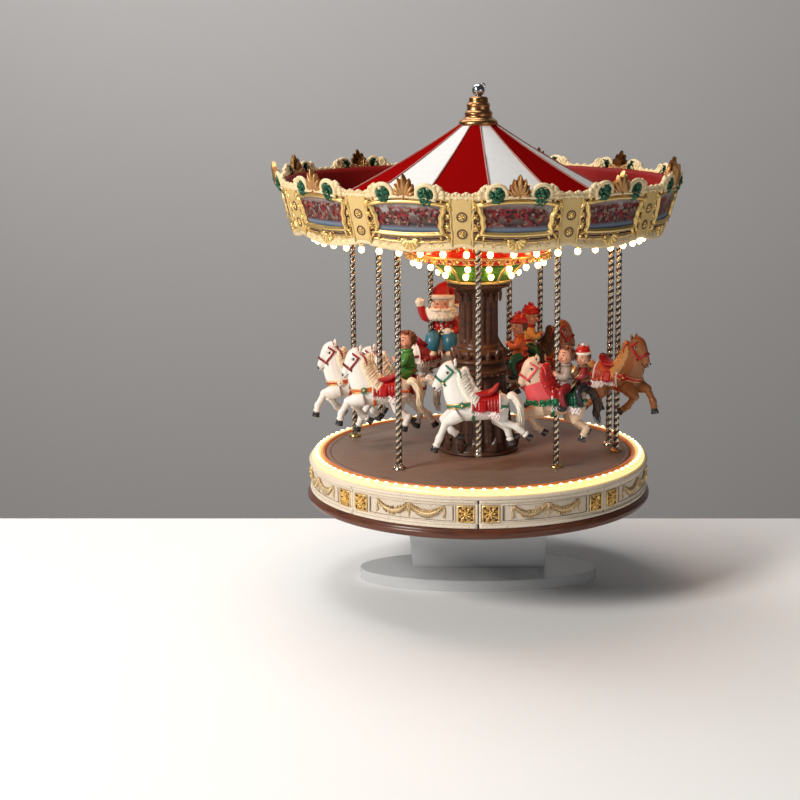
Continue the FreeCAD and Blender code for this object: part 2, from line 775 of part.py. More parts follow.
def roof():
    """The tent roof: a thin cone that hollows slightly towards its edge."""
    outside = [ROOF_EDGE, ROOF_MIDDLE, ROOF_UPPER, ROOF_APEX]
    inside = [(r, z - ROOF_WALL) for r, z in reversed(outside)]
    return turned(outside + inside)


def finial():
    low = ROOF_APEX[1]
    steps = [(4.0, low - 3.0), (11.9, low - 3.0), (11.9, low), (13.4, low), (13.4, low + 2.0), (12.0, low + 3.2)]
    steps += [(9.2, low + 5.5), (9.2, low + 8.5), (8.2, low + 9.5), (7.6, low + 13.0), (6.5, low + 14.0)]
    steps += [(6.5, FINIAL_TOP - 1.0), (5.5, FINIAL_TOP), (1.2, FINIAL_TOP), (1.2, low + 2.0), (4.0, low + 2.0)]
    return turned(steps)


def finial_ball():
    stem = cylinder(1.2, FINIAL_TOP - 6.0, FINIAL_TOP + 1.0)
    return joined([stem, Part.makeSphere(BALL_R, V(0, 0, FINIAL_TOP + BALL_R - 0.1))])


def support_poles():
    poles = []
    for x, y in SUPPORTS:
        at = V(x, y, 0)
        rod = cylinder(POLE_R, FLOOR_TOP, CEILING_BOTTOM, at)
        foot = Part.makeCone(4.6, POLE_R, 4.0, V(x, y, FLOOR_TOP))
        cap = cylinder(3.6, CEILING_BOTTOM - 1.5, CEILING_BOTTOM, at)
        poles.append(joined([rod, foot, cap]))
    return group(poles)


def pole_bushes():
    """Flanged guides in the ceiling for every horse's pole, and in the floor for those that reach it."""
    bore = POLE_R + POLE_FIT
    bushes = []
    for p in pole_places():
        sleeve = tube(BUSH_R, bore, CEILING_BOTTOM, CEILING_TOP, p)
        bushes.append(joined([sleeve, tube(BUSH_FLANGE_R, bore, CEILING_BOTTOM - 1.2, CEILING_BOTTOM, p)]))
    for p in through_places():
        sleeve = tube(BUSH_R, bore, FLOOR_BOTTOM, FLOOR_TOP, p)
        bushes.append(joined([sleeve, tube(BUSH_FLANGE_R, bore, FLOOR_TOP, FLOOR_TOP + 2.2, p)]))
    return group(bushes)


# Horses -----------------------------------------------------------------------------------------

# Joint positions of each attitude: forward along +X from the pole, height from the body's centre.
FORELEGS = {
    "leaping": [
        [(13, 5, -4), (20, 5.4, -10), (26, 5.4, -21), (29, 5.4, -29)],
        [(13, -5, -4), (24, -5.4, -9), (18, -5.4, -18), (13.5, -5.4, -23)],
    ],
    "rearing": [
        [(11, 5, -4), (22, 5.4, -6), (27.5, 5.4, -14), (28.5, 5.4, -22)],
        [(11, -5, -4), (17, -5.4, -11), (11, -5.4, -19), (7, -5.4, -23)],
    ],
}
HINDLEGS = {
    "leaping": [
        [(-13, 5, -3), (-14, 5.6, -11), (-22, 5.6, -19), (-28, 5.6, -25)],
        [(-13, -5, -3), (-11, -5.6, -11), (-17, -5.6, -20), (-13, -5.6, -30)],
    ],
    "rearing": [
        [(-13, 5, -3), (-13, 5.6, -12), (-20, 5.6, -18), (-17, 5.6, -25)],
        [(-13, -5, -3), (-10, -5.6, -12), (-17, -5.6, -17), (-23, -5.6, -23)],
    ],
}
NECK = {
    "leaping": [(13, 0, 4), (20, 0, 15), (24, 0, 27)],
    "rearing": [(11, 0, 4), (15, 0, 16), (14.5, 0, 29)],
}
HEAD = {
    "leaping": [(24, 0, 28), (29, 0, 26), (38, 0, 17)],
    "rearing": [(15, 0, 30), (19, 0, 28), (24, 0, 18)],
}


def horse_body(attitude):
    """A galloping horse with its saddle, before it is bored for its pole."""
    pieces = limb([(12, 0, 1), (-13, 0, 1)], [9.3, 9.6])
    pieces += limb(NECK[attitude], [9.0, 7.6, 5.9])
    pieces += limb(HEAD[attitude], [5.5, 4.7, 3.1])
    ear = V(*HEAD[attitude][0]) + V(-2.0, 0, 3.0)
    pieces += [Part.makeCone(1.5, 0.3, 5.0, ear + V(0, side * 2.2, 0), V(-0.1, side * 0.2, 1)) for side in (-1, 1)]
    for legs in (FORELEGS, HINDLEGS):
        for points in legs[attitude]:
            pieces += limb(points, [4.8, 3.8, 2.6, 2.4])
    pieces += limb([(-21, 0, 5), (-27, 0, 0), (-30, 0, -13)], [3.2, 3.8, 2.0])
    pieces.append(Part.makeBox(17, 16, 3.5, V(-13, -8, 8.5)))
    return joined(pieces)


def rider(seat, size):
    """A seated figure at a distance along the horse's back, enlarged from its seat by its size."""
    pieces = limb([(seat, 0, 15), (seat + 0.5, 0, 25)], [5.6, 4.6])
    pieces.append(Part.makeSphere(5.0, V(seat + 1.0, 0, 35)))
    pieces.append(Part.makeCylinder(2.2, 6, V(seat + 0.7, 0, 27), UP))
    for side in (-1, 1):
        pieces += limb([(seat + 1, side * 4, 13), (seat + 5, side * 8.8, 9), (seat + 4, side * 9.4, 0)], [3.2, 2.6, 2.0])
        pieces += limb([(seat + 1, side * 4.6, 26), (seat + 4, side * 6.6, 19), (seat + 8, side * 3.4, 20)], [2.2, 1.9, 1.7])
    return [piece.scaled(size, V(seat, 0, SEAT_HEIGHT)) for piece in pieces]


def horse(base, spec):
    """One horse with its riders, bored for its pole and turned to its heading."""
    x, y, height, heading, _, _, seats = spec
    solid = base
    for seat, size in seats:
        solid = solid.fuse(rider(seat, size))
    solid = solid.cut(cylinder(POLE_R, -60, 60))
    if len(solid.Solids) > 1:
        solid = max(solid.Solids, key=lambda s: s.Volume)
    return solid.rotated(V(0, 0, 0), UP, heading).translated(V(x, y, height))


def pole(spec):
    """A horse's pole, with the arm over the ceiling whose finger follows the wavy track."""
    x, y, height, _, _, ending, _ = spec
    low = {"tip": 46.0, "short": height - 13.0, "through": 22.0}[ending]
    top = ARM_BOTTOM + ARM_THICK
    away = math.hypot(x, y)
    pieces = [cylinder(POLE_R, low, top, V(away, 0, 0))]
    if ending == "tip":
        pieces.append(Part.makeSphere(2.7, V(away, 0, low + 0.6)))
    riser_top = FINGER_BOTTOM + ARM_THICK
    half = ARM_WIDTH / 2
    pieces.append(Part.makeBox(away - FINGER_OUT_R + 3, ARM_WIDTH, ARM_THICK, V(FINGER_OUT_R - 3, -half, ARM_BOTTOM)))
    pieces.append(Part.makeBox(3, ARM_WIDTH, riser_top - ARM_BOTTOM, V(FINGER_OUT_R - 3, -half, ARM_BOTTOM)))
    finger = Part.makeBox(FINGER_OUT_R - FINGER_IN_R, ARM_WIDTH, ARM_THICK, V(FINGER_IN_R, -half, FINGER_BOTTOM))
    pieces.append(finger)
    return joined(pieces).rotated(V(0, 0, 0), UP, math.degrees(math.atan2(y, x)))


SINGLE_PIECES = [
    stand_foot,
    stand_upright,
    upright_bracket,
    base_screws,
    plinth,
    base_shell,
    base_panels,
    base_ornaments,
    top_moulding,
    led_strip,
    led_diffuser,
    bottom_plate,
    central_post,
    canopy_cam,
    slip_ring,
    battery_box,
    battery_cells,
    battery_door,
    switch_slider,
    movement_bedplate,
    comb,
    wind_key,
    spring_barrel,
    mainspring,
    music_cylinder,
    governor_fan,
    floor_disc,
    turntable_hub,
    contact_brushes,
    column_drum,
    column_shaft,
    lower_tier,
    upper_tier,
    canopy_bulbs,
    canopy_ceiling,
    cornice_panels,
    cornice_gilding,
    roof,
    finial,
    finial_ball,
    support_poles,
    pole_bushes,
]


def save(name, shape):
    raised = shape.translated(V(0, 0, STAND_HEIGHT))
    raised.exportStep(os.path.join("parts", name + ".step"))
    print("%-20s solids %3d  volume %10.1f  valid %s" % (name, len(raised.Solids), raised.Volume, raised.isValid()))


def main():
    os.makedirs("parts", exist_ok=True)
    for make in SINGLE_PIECES:
        save(make.__name__, make())
    bodies = {attitude: horse_body(attitude) for attitude in NECK}
    for number, spec in enumerate(HORSES, 1):
        save("horse_%d" % number, horse(bodies[spec[4]], spec))
        save("pole_%d" % number, pole(spec))


main()
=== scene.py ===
"""Looks of the lighted winter carousel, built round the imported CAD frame.

Sizes are in millimetres above the plinth's underside, and `world` turns them into the frame's metres.
Stations round the carousel are a radius and an angle in degrees from the front (-Y), positive towards +X.
"""

import bpy
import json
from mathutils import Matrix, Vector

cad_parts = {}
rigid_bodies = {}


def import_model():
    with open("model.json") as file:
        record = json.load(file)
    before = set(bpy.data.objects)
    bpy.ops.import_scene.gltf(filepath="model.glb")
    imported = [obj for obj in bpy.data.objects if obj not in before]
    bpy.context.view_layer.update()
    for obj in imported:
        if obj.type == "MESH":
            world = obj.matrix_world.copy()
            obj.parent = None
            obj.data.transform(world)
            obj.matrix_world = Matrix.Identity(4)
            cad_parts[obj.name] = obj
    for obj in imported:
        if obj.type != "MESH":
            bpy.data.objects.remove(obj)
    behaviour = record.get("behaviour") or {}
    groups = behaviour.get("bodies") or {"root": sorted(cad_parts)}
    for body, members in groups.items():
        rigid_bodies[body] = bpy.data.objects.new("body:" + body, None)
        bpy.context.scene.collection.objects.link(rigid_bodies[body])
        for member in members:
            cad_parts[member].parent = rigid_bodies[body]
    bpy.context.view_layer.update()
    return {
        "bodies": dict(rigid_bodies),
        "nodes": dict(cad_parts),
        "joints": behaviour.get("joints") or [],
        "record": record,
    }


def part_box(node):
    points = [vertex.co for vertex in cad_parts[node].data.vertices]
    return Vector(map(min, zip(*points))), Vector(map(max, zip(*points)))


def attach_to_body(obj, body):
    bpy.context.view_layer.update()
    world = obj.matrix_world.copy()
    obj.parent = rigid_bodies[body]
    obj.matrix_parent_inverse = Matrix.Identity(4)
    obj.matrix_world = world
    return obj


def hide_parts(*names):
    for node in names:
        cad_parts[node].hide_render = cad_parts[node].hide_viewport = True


for leftover in list(bpy.data.objects):
    bpy.data.objects.remove(leftover)
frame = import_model()

import json
import math
import random

from mathutils import Matrix, Vector
from mathutils.bvhtree import BVHTree

random.seed(7)
MM = 0.001
PLINTH_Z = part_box("plinth")[0][2]


def box_mm(node):
    """A CAD node's corners, in millimetres above the plinth's underside."""
    low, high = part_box(node)
    low_mm = [low[0] / MM, low[1] / MM, (low[2] - PLINTH_Z) / MM]
    high_mm = [high[0] / MM, high[1] / MM, (high[2] - PLINTH_Z) / MM]
    return low_mm, high_mm


def top_of(node):
    return box_mm(node)[1][2]


def bottom_of(node):
    return box_mm(node)[0][2]


def radius_of(node):
    return box_mm(node)[1][0]


def world(p):
    return Vector((p[0] * MM, p[1] * MM, p[2] * MM + PLINTH_Z))


def station(radius, angle, z=0.0):
    a = math.radians(angle)
    return Vector((radius * math.sin(a), -radius * math.cos(a), z))


def mix(a, b, t):
    return a + (b - a) * t


def taper(start, end, count, power=1.0):
    """A list of values that runs from start to end."""
    return [mix(start, end, (i / (count - 1)) ** power) for i in range(count)]


def read_along(values, t):
    """A value read off a list, with t from 0 to 1 along it."""
    last = len(values) - 1
    low = min(last, int(t * last))
    return mix(values[low], values[min(last, low + 1)], t * last % 1)


def whole_turn(count):
    """Angles in radians, spread evenly round a circle."""
    return [2 * math.pi * k / count for k in range(count)]


def away_from(origin, *offsets):
    """Places at offsets from an origin."""
    return [origin + Vector(offset) for offset in offsets]


def through(*places):
    return [Vector(place) for place in places]


def mirrored_copy(places):
    """Places in the other order, on the other side of the XZ plane."""
    return [Vector((p.x, -p.y, p.z)) for p in places[::-1]]


# Camera, light and floor --------------------------------------------------------------------------

CAMERA_AWAY = 1.20
CAMERA_HEIGHT = 0.324
CAMERA_TILT = 12.0
SLAB_BACK = 0.156
WALL_Y = 1.5


def set_stage():
    camera = bpy.data.objects.new("camera", bpy.data.cameras.new("camera"))
    camera.data.lens = 76.1
    camera.data.sensor_width = 36
    camera.data.shift_x = -0.098
    camera.location = (0, -CAMERA_AWAY, CAMERA_HEIGHT + PLINTH_Z)
    camera.rotation_euler = (math.radians(90 - CAMERA_TILT), 0, 0)
    bpy.context.scene.collection.objects.link(camera)
    bpy.context.scene.camera = camera
    for name, place, size, power, colour in (
        ("key_light", (-1.2, -1.0, 1.0), 0.5, 30.0, (1.0, 0.97, 0.93)),
        ("fill_light", (0.9, -1.1, 0.15), 0.7, 2.2, (0.95, 0.97, 1.0)),
        ("top_light", (-0.2, 0.2, 1.6), 0.7, 8.0, (1.0, 0.99, 0.97)),
        ("wall_light", (-0.6, 0.7, 1.3), 1.0, 9.0, (1.0, 1.0, 1.0)),
    ):
        lamp = bpy.data.objects.new(name, bpy.data.lights.new(name, "AREA"))
        lamp.data.size = size
        lamp.data.energy = power
        lamp.data.color = colour
        lamp.location = place
        target = (0.3, WALL_Y, 0.1) if name == "wall_light" else (0, 0, 0.2)
        aim = Vector(target) - Vector(place)
        lamp.rotation_euler = aim.to_track_quat("-Z", "Y").to_euler()
        bpy.context.scene.collection.objects.link(lamp)
    for angle in range(45, 405, 90):
        lamp = bpy.data.objects.new("canopy_glow", bpy.data.lights.new("canopy_glow", "POINT"))
        lamp.data.energy = 0.045
        lamp.data.color = (1.0, 0.60, 0.22)
        lamp.data.shadow_soft_size = 0.006
        lamp.location = world(station(78.0, angle, 188.0))
        bpy.context.scene.collection.objects.link(lamp)
    sky = bpy.data.worlds.new("studio")
    sky.use_nodes = True
    sky.node_tree.nodes["Background"].inputs[0].default_value = (0.055, 0.055, 0.055, 1)
    sky.node_tree.nodes["Background"].inputs[1].default_value = 1.0
    bpy.context.scene.world = sky
    bpy.context.scene.view_settings.view_transform = "Standard"
    reach = 3.0
    floor = [(-reach, -reach, 0), (reach, -reach, 0), (reach, SLAB_BACK, 0), (-reach, SLAB_BACK, 0)]
    sheet("studio_floor", floor, (0.92, 0.915, 0.905))
    wall = [
        (-reach, WALL_Y, -reach), (reach, WALL_Y, -reach), (reach, WALL_Y, reach),
        (-reach, WALL_Y, reach),
    ]
    sheet("studio_wall", wall, (0.52, 0.505, 0.495))


def sheet(name, corners, colour):
    """A flat part of the studio, which isn't part of the object."""
    mesh = bpy.data.meshes.new(name)
    mesh.from_pydata(corners, [], [(0, 1, 2, 3)])
    mesh.materials.append(plain(name, colour, 0.6))
    made = bpy.data.objects.new(name, mesh)
    bpy.context.scene.collection.objects.link(made)


# Materials ----------------------------------------------------------------------------------------


class Shader:
    """A small helper over a material's node tree."""

    def __init__(self, name):
        self.material = bpy.data.materials.new(name)
        self.material.use_nodes = True
        self.tree = self.material.node_tree
        self.surface = self.tree.nodes["Principled BSDF"]
        self.place = None

    def node(self, kind, **values):
        made = self.tree.nodes.new(kind)
        for key, value in values.items():
            setattr(made, key, value)
        return made

    def link(self, a, b):
        self.tree.links.new(a, b)

    def coords(self, scale=(1, 1, 1)):
        """Object coordinates, which are metres in the shared frame."""
        if self.place is None:
            self.place = self.node("ShaderNodeTexCoord").outputs["Object"]
        if scale == (1, 1, 1):
            return self.place
        mapping = self.node("ShaderNodeMapping")
        mapping.inputs["Scale"].default_value = scale
        self.link(self.place, mapping.inputs["Vector"])
        return mapping.outputs["Vector"]

    def noise(self, per_metre, detail=4.0, stretch=(1, 1, 1)):
        made = self.node("ShaderNodeTexNoise")
        made.inputs["Scale"].default_value = per_metre
        made.inputs["Detail"].default_value = detail
        self.link(self.coords(stretch), made.inputs["Vector"])
        return made.outputs["Fac"]

    def ramp(self, value, stops):
        made = self.node("ShaderNodeValToRGB")
        line = made.color_ramp
        while len(line.elements) < len(stops):
            line.elements.new(0.5)
        for element, (at, colour) in zip(line.elements, stops):
            element.position = at
            element.color = (*colour, 1) if len(colour) == 3 else colour
        self.link(value, made.inputs["Fac"])
        return made.outputs["Color"]

    def blend(self, fac, a, b, mode="MIX"):
        made = self.node("ShaderNodeMix", data_type="RGBA", blend_type=mode)
        for socket, value in ((made.inputs[0], fac), (made.inputs[6], a), (made.inputs[7], b)):
            if isinstance(value, (int, float)):
                socket.default_value = value
            elif isinstance(value, tuple):
                socket.default_value = (*value, 1)
            else:
                self.link(value, socket)
        return made.outputs[2]

    def cavities(self, low=0.41, high=0.50):
        """0 in recesses and 1 on proud edges."""
        made = self.node("ShaderNodeMapRange")
        made.inputs["From Min"].default_value = low
        made.inputs["From Max"].default_value = high
        self.link(self.node("ShaderNodeNewGeometry").outputs["Pointiness"], made.inputs["Value"])
        return made.outputs["Result"]

    def spread(self, value, low, high):
        made = self.node("ShaderNodeMapRange")
        made.inputs["To Min"].default_value = low
        made.inputs["To Max"].default_value = high
        self.link(value, made.inputs["Value"])
        return made.outputs["Result"]

    def bump(self, height, strength, distance=0.0002):
        made = self.node("ShaderNodeBump")
        made.inputs["Strength"].default_value = strength
        made.inputs["Distance"].default_value = distance
        self.link(height, made.inputs["Height"])
        self.link(made.outputs["Normal"], self.surface.inputs["Normal"])


def plain(name, colour, roughness):
    """The studio floor's quiet material."""
    s = Shader(name)
    tone = s.blend(s.noise(9.0), tuple(c * 0.97 for c in colour), colour)
    s.link(tone, s.surface.inputs["Base Color"])
    s.surface.inputs["Roughness"].default_value = roughness
    return s.material


def paint(
    name, colour, shade=None, rough=0.35, coat=0.0, grain=900.0, bump=0.12, worn=None, gloss=0.5
):
    """Brushed paint on cast resin: mottled colour, painted shade in the recesses and, when a worn colour is
    given, worn patches.
    """
    s = Shader(name)
    shade = shade or tuple(c * 0.55 for c in colour)
    light = tuple(min(1.0, c * 1.15) for c in colour)
    mottled = s.blend(s.noise(260.0), colour, light)
    # Painted shade: the shade colour is laid into the recesses, where shadow would fall.
    toned = s.blend(s.cavities(), shade, mottled)
    if worn:
        toned = s.blend(s.ramp(s.noise(700.0, 8.0), [(0.60, (0, 0, 0)), (0.72, (1, 1, 1))]), toned, worn)
    s.link(toned, s.surface.inputs["Base Color"])
    s.link(s.spread(s.noise(grain), rough - 0.08, rough + 0.12), s.surface.inputs["Roughness"])
    s.surface.inputs["Specular IOR Level"].default_value = gloss
    s.surface.inputs["Coat Weight"].default_value = coat
    s.surface.inputs["Coat Roughness"].default_value = 0.12
    s.bump(s.noise(grain * 1.6, 6.0), bump)
    return s.material


def gilt(name, colour=(0.80, 0.52, 0.17), dark=(0.11, 0.042, 0.010), rough=0.27):
    """Gold paint over relief, with a painted brown shade in the recesses and a painted highlight on proud
    edges.
    """
    s = Shader(name)
    painted_highlight = tuple(min(1.0, c * 1.25 + 0.06) for c in colour)
    # Painted shade where the relief is hollow, and a painted highlight where it stands proud.
    edge = s.cavities(0.44, 0.57)
    tone = s.ramp(edge, [(0.12, dark), (0.46, colour), (1.0, painted_highlight)])
    tone = s.blend(s.spread(s.noise(1400.0), 0.0, 0.35), tone, dark)
    s.link(tone, s.surface.inputs["Base Color"])
    s.surface.inputs["Metallic"].default_value = 0.85
    s.link(s.spread(s.noise(1100.0), rough, rough + 0.2), s.surface.inputs["Roughness"])
    s.bump(s.noise(2200.0, 6.0), 0.18)
    return s.material


def varnished_wood(name, dark, light, rough=0.28, coat=0.35, stretch=(1, 1, 9)):
    s = Shader(name)
    s.surface.inputs["Specular IOR Level"].default_value = 0.22
    grain = s.noise(70.0, 8.0, stretch)
    fine = s.noise(420.0, 6.0, stretch)
    between = tuple(mix(a, b, 0.4) for a, b in zip(dark, light))
    tone = s.ramp(grain, [(0.30, dark), (0.55, light), (0.75, between)])
    tone = s.blend(s.spread(fine, 0.0, 0.5), tone, dark)
    # Painted shade: the recesses are darkened.
    tone = s.blend(s.cavities(), tuple(c * 0.4 for c in dark), tone)
    s.link(tone, s.surface.inputs["Base Color"])
    s.link(s.spread(fine, rough, rough + 0.16), s.surface.inputs["Roughness"])
    s.surface.inputs["Coat Weight"].default_value = coat
    s.surface.inputs["Coat Roughness"].default_value = 0.15
    s.bump(fine, 0.12)
    return s.material


def polished_metal(name, colour, rough=0.16, patina=None, scale=500.0):
    s = Shader(name)
    patina = patina or tuple(c * 0.45 for c in colour)
    tone = s.blend(s.cavities(0.42, 0.50), patina, colour)
    tone = s.blend(s.spread(s.noise(scale), 0.0, 0.25), tone, patina)
    s.link(tone, s.surface.inputs["Base Color"])
    s.surface.inputs["Metallic"].default_value = 1.0
    s.link(s.spread(s.noise(scale * 2), rough, rough + 0.16), s.surface.inputs["Roughness"])
    s.bump(s.noise(scale * 3), 0.05)
    return s.material


def clear_acrylic(name):
    s = Shader(name)
    s.surface.inputs["Base Color"].default_value = (0.92, 0.93, 0.94, 1)
    s.surface.inputs["Transmission Weight"].default_value = 0.50
    s.surface.inputs["IOR"].default_value = 1.49
    s.link(s.spread(s.noise(60.0), 0.10, 0.22), s.surface.inputs["Roughness"])
    s.bump(s.noise(45.0), 0.02)
    return s.material


def glow(name, inner, outer, strength, r_in=None, r_out=None, base=(0.9, 0.8, 0.6)):
    """A lit surface. Its colour may run from an inner to an outer radius about the carousel's axis."""
    s = Shader(name)
    s.surface.inputs["Base Color"].default_value = (*base, 1)
    s.surface.inputs["Roughness"].default_value = 0.3
    s.surface.inputs["Emission Strength"].default_value = strength
    if r_in is None:
        colour = s.blend(s.noise(500.0), inner, outer)
    else:
        flat = s.node("ShaderNodeVectorMath", operation="MULTIPLY")
        flat.inputs[1].default_value = (1, 1, 0)
        s.link(s.coords(), flat.inputs[0])
        length = s.node("ShaderNodeVectorMath", operation="LENGTH")
        s.link(flat.outputs[0], length.inputs[0])
        span = s.node("ShaderNodeMapRange")
        span.inputs["From Min"].default_value = r_in * MM
        span.inputs["From Max"].default_value = r_out * MM
        s.link(length.outputs["Value"], span.inputs["Value"])
        colour = s.ramp(span.outputs["Result"], [(0.0, inner), (1.0, outer)])
    s.link(colour, s.surface.inputs["Emission Color"])
    return s.material


def glitter(name, colour, dark):
    """Coarse glitter in clear varnish, with a painted highlight on some flakes for their glints."""
    s = Shader(name)
    cells = s.node("ShaderNodeTexVoronoi")
    cells.inputs["Scale"].default_value = 2600.0
    s.link(s.coords(), cells.inputs["Vector"])
    # Painted highlight: the brightest flakes stand in for glints.
    painted_highlight = tuple(min(1, c * 2.2 + 0.12) for c in colour)
    tone = s.ramp(cells.outputs["Color"], [(0.25, dark), (0.6, colour), (0.95, painted_highlight)])
    s.link(tone, s.surface.inputs["Base Color"])
    s.surface.inputs["Metallic"].default_value = 0.35
    s.link(s.spread(s.noise(3000.0), 0.12, 0.45), s.surface.inputs["Roughness"])
    s.bump(cells.outputs["Distance"], 0.7, 0.0003)
    return s.material


# Mesh building ------------------------------------------------------------------------------------


class Build:
    """Collects pieces of mesh, each with the index of its material."""

    def __init__(self):
        self.points = []
        self.faces = []
        self.kinds = []

    def add(self, part, kind=0):
        points, faces = part
        start = len(self.points)
        self.points += points
        self.faces += [[start + i for i in face] for face in faces]
        self.kinds += [kind] * len(faces)
        return self

    def copied(self, place):
        made = Build()
        made.points = [place(p) for p in self.points]
        made.faces = [list(face) for face in self.faces]
        made.kinds = list(self.kinds)
        return made

    def merge(self, other):
        start = len(self.points)
        self.points += other.points
        self.faces += [[start + i for i in face] for face in other.faces]
        self.kinds += other.kinds
        return self

    def piece(self, name, materials, body, slot=None, replaces=()):
        mesh = bpy.data.meshes.new(name)
        mesh.from_pydata([world(p) for p in self.points], [], self.faces)
        for material in materials if isinstance(materials, (list, tuple)) else [materials]:
            mesh.materials.append(material)
        mesh.polygons.foreach_set("material_index", self.kinds)
        mesh.polygons.foreach_set("use_smooth", [True] * len(mesh.polygons))
        mesh.update()
        return settle(bpy.data.objects.new(name, mesh), body, slot, replaces)


def settle(made, body, slot=None, replaces=()):
    """Links a finished object, rides it on its body and hides the CAD parts it replaces."""
    if made.name not in bpy.context.scene.collection.objects:
        bpy.context.scene.collection.objects.link(made)
    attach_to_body(made, body)
    if replaces:
        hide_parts(*replaces)
    return made


def surface(nu, nv, at, wrap_u=False, wrap_v=False):
    """A grid of points at(u, v) with u and v from 0 to 1."""
    points = []
    for i in range(nu):
        for j in range(nv):
            points.append(Vector(at(i / (nu if wrap_u else nu - 1), j / (nv if wrap_v else nv - 1))))
    faces = []
    for i in range(nu if wrap_u else nu - 1):
        for j in range(nv if wrap_v else nv - 1):
            a, b = i * nv + j, i * nv + (j + 1) % nv
            c, d = ((i + 1) % nu) * nv + (j + 1) % nv, ((i + 1) % nu) * nv + j
            faces.append((a, d, c, b))
    return points, faces


def revolved(outline, steps=180, swell=None):
    """A closed outline of (radius, z) turned about the axis. swell(angle, r, z) may change the radius."""

    def at(u, v):
        r, z = outline[round(v * len(outline)) % len(outline)]
        a = 2 * math.pi * u
        if swell:
            r = swell(a, r, z)
        return (r * math.cos(a), r * math.sin(a), z)

    return surface(steps, len(outline), at, wrap_u=True, wrap_v=True)


def rounded(corners, radius=0.6, steps=3):
    """An outline with its corners rounded by short curves."""
    out = []
    count = len(corners)
    for i in range(count):
        p = Vector(corners[i])
        a, b = Vector(corners[i - 1]), Vector(corners[(i + 1) % count])
        cut_a, cut_b = min(radius, (a - p).length * 0.4), min(radius, (b - p).length * 0.4)
        start, end = p + (a - p).normalized() * cut_a, p + (b - p).normalized() * cut_b
        for k in range(steps + 1):
            t = k / steps
            out.append(tuple(start * (1 - t) ** 2 + p * 2 * t * (1 - t) + end * t * t))
    return out


def smooth_path(points, steps=6):
    """A Catmull-Rom curve through points."""
    ends = [points[0] * 2 - points[1]] + list(points) + [points[-1] * 2 - points[-2]]
    out = []
    for i in range(1, len(ends) - 2):
        a, b, c, d = ends[i - 1 : i + 3]
        for k in range(steps):
            t = k / steps
            square = a * 2 - b * 5 + c * 4 - d
            cube = b * 3 - a - c * 3 + d
            out.append((b * 2 + (c - a) * t + square * t * t + cube * t ** 3) / 2)
    return out + [points[-1].copy()]


def tube(path, radii, sides=8, squash=1.0, up=Vector((0, 0, 1)), closed=False):
    """A round or flattened rod along a path, with a radius or a list of radii."""
    count = len(path)
    if not isinstance(radii, (list, tuple)):
        radii = [radii] * count
    side = None
    points = []
    for i, p in enumerate(path):
        along = (path[(i + 1) % count] - path[i - 1]) if closed or 0 < i < count - 1 else None
        if along is None:
            along = path[1] - path[0] if i == 0 else path[-1] - path[-2]
        along.normalize()
        if side is None:
            side = along.cross(up)
            if side.length < 0.05:
                side = along.cross(Vector((1, 0.2, 0)))
        side = (side - along * side.dot(along)).normalized()
        over = side.cross(along)
        for k in range(sides):
            a = 2 * math.pi * k / sides
            points.append(p + side * (math.cos(a) * radii[i]) + over * (math.sin(a) * radii[i] * squash))
    faces = []
    for i in range(count if closed else count - 1):
        for k in range(sides):
            a, b = i * sides + k, i * sides + (k + 1) % sides
            c, d = ((i + 1) % count) * sides + (k + 1) % sides, ((i + 1) % count) * sides + k
            faces.append((a, d, c, b))
    if not closed:
        faces.append(tuple(range(sides)))
        faces.append(tuple((count - 1) * sides + k for k in range(sides))[::-1])
    return points, faces


def ball(centre, radii, rings=7, sides=12, turn=None):
    """An ellipsoid, turned by a matrix if one is given."""
    if isinstance(radii, (int, float)):
        radii = (radii, radii, radii)
    centre = Vector(centre)
    points = []
    for i in range(1, rings):
        a = math.pi * i / rings
        for k in range(sides):
            b = 2 * math.pi * k / sides
            x, y = radii[0] * math.sin(a) * math.cos(b), radii[1] * math.sin(a) * math.sin(b)
            p = Vector((x, y, radii[2] * math.cos(a)))
            points.append(centre + (turn @ p if turn else p))
    faces = []
    for i in range(rings - 2):
        for k in range(sides):
            a, b = i * sides + k, i * sides + (k + 1) % sides
            faces.append((a, a + sides, b + sides, b))
    for height, ring, order in ((radii[2], 0, 1), (-radii[2], (rings - 2) * sides, -1)):
        tip = Vector((0, 0, height))
        points.append(centre + (turn @ tip if turn else tip))
        for k in range(sides):
            face = (len(points) - 1, ring + k, ring + (k + 1) % sides)
            faces.append(face[::order])
    return points, faces


CURL_STEPS = 12


def spiral(centre, start, turns, radius, end_radius, height=0.0, hand=1):
    """Points of a flat curl, in ornament coordinates."""
    count = max(6, int(abs(turns) * CURL_STEPS))
    points = []
    for i in range(count + 1):
        t = i / count
        a = start + hand * t * turns * 2 * math.pi
        r = mix(radius, end_radius, t)
        points.append(Vector((centre[0] + r * math.cos(a), centre[1] + r * math.sin(a), height)))
    return points


# Relief ornament is made flat: x along the surface, y up it and z outwards ------------------------


def curl(build, centre, start, turns, radius, hand, thick):
    """A round scroll that thins towards a button at its inner end."""
    path = spiral(centre, math.radians(start), turns, radius, radius * 0.18, thick * 0.35, hand)
    build.add(tube(path, taper(thick, thick * 0.45, len(path)), 6))
    build.add(ball((path[-1].x, path[-1].y, thick * 0.5), thick * 0.75, 5, 8))


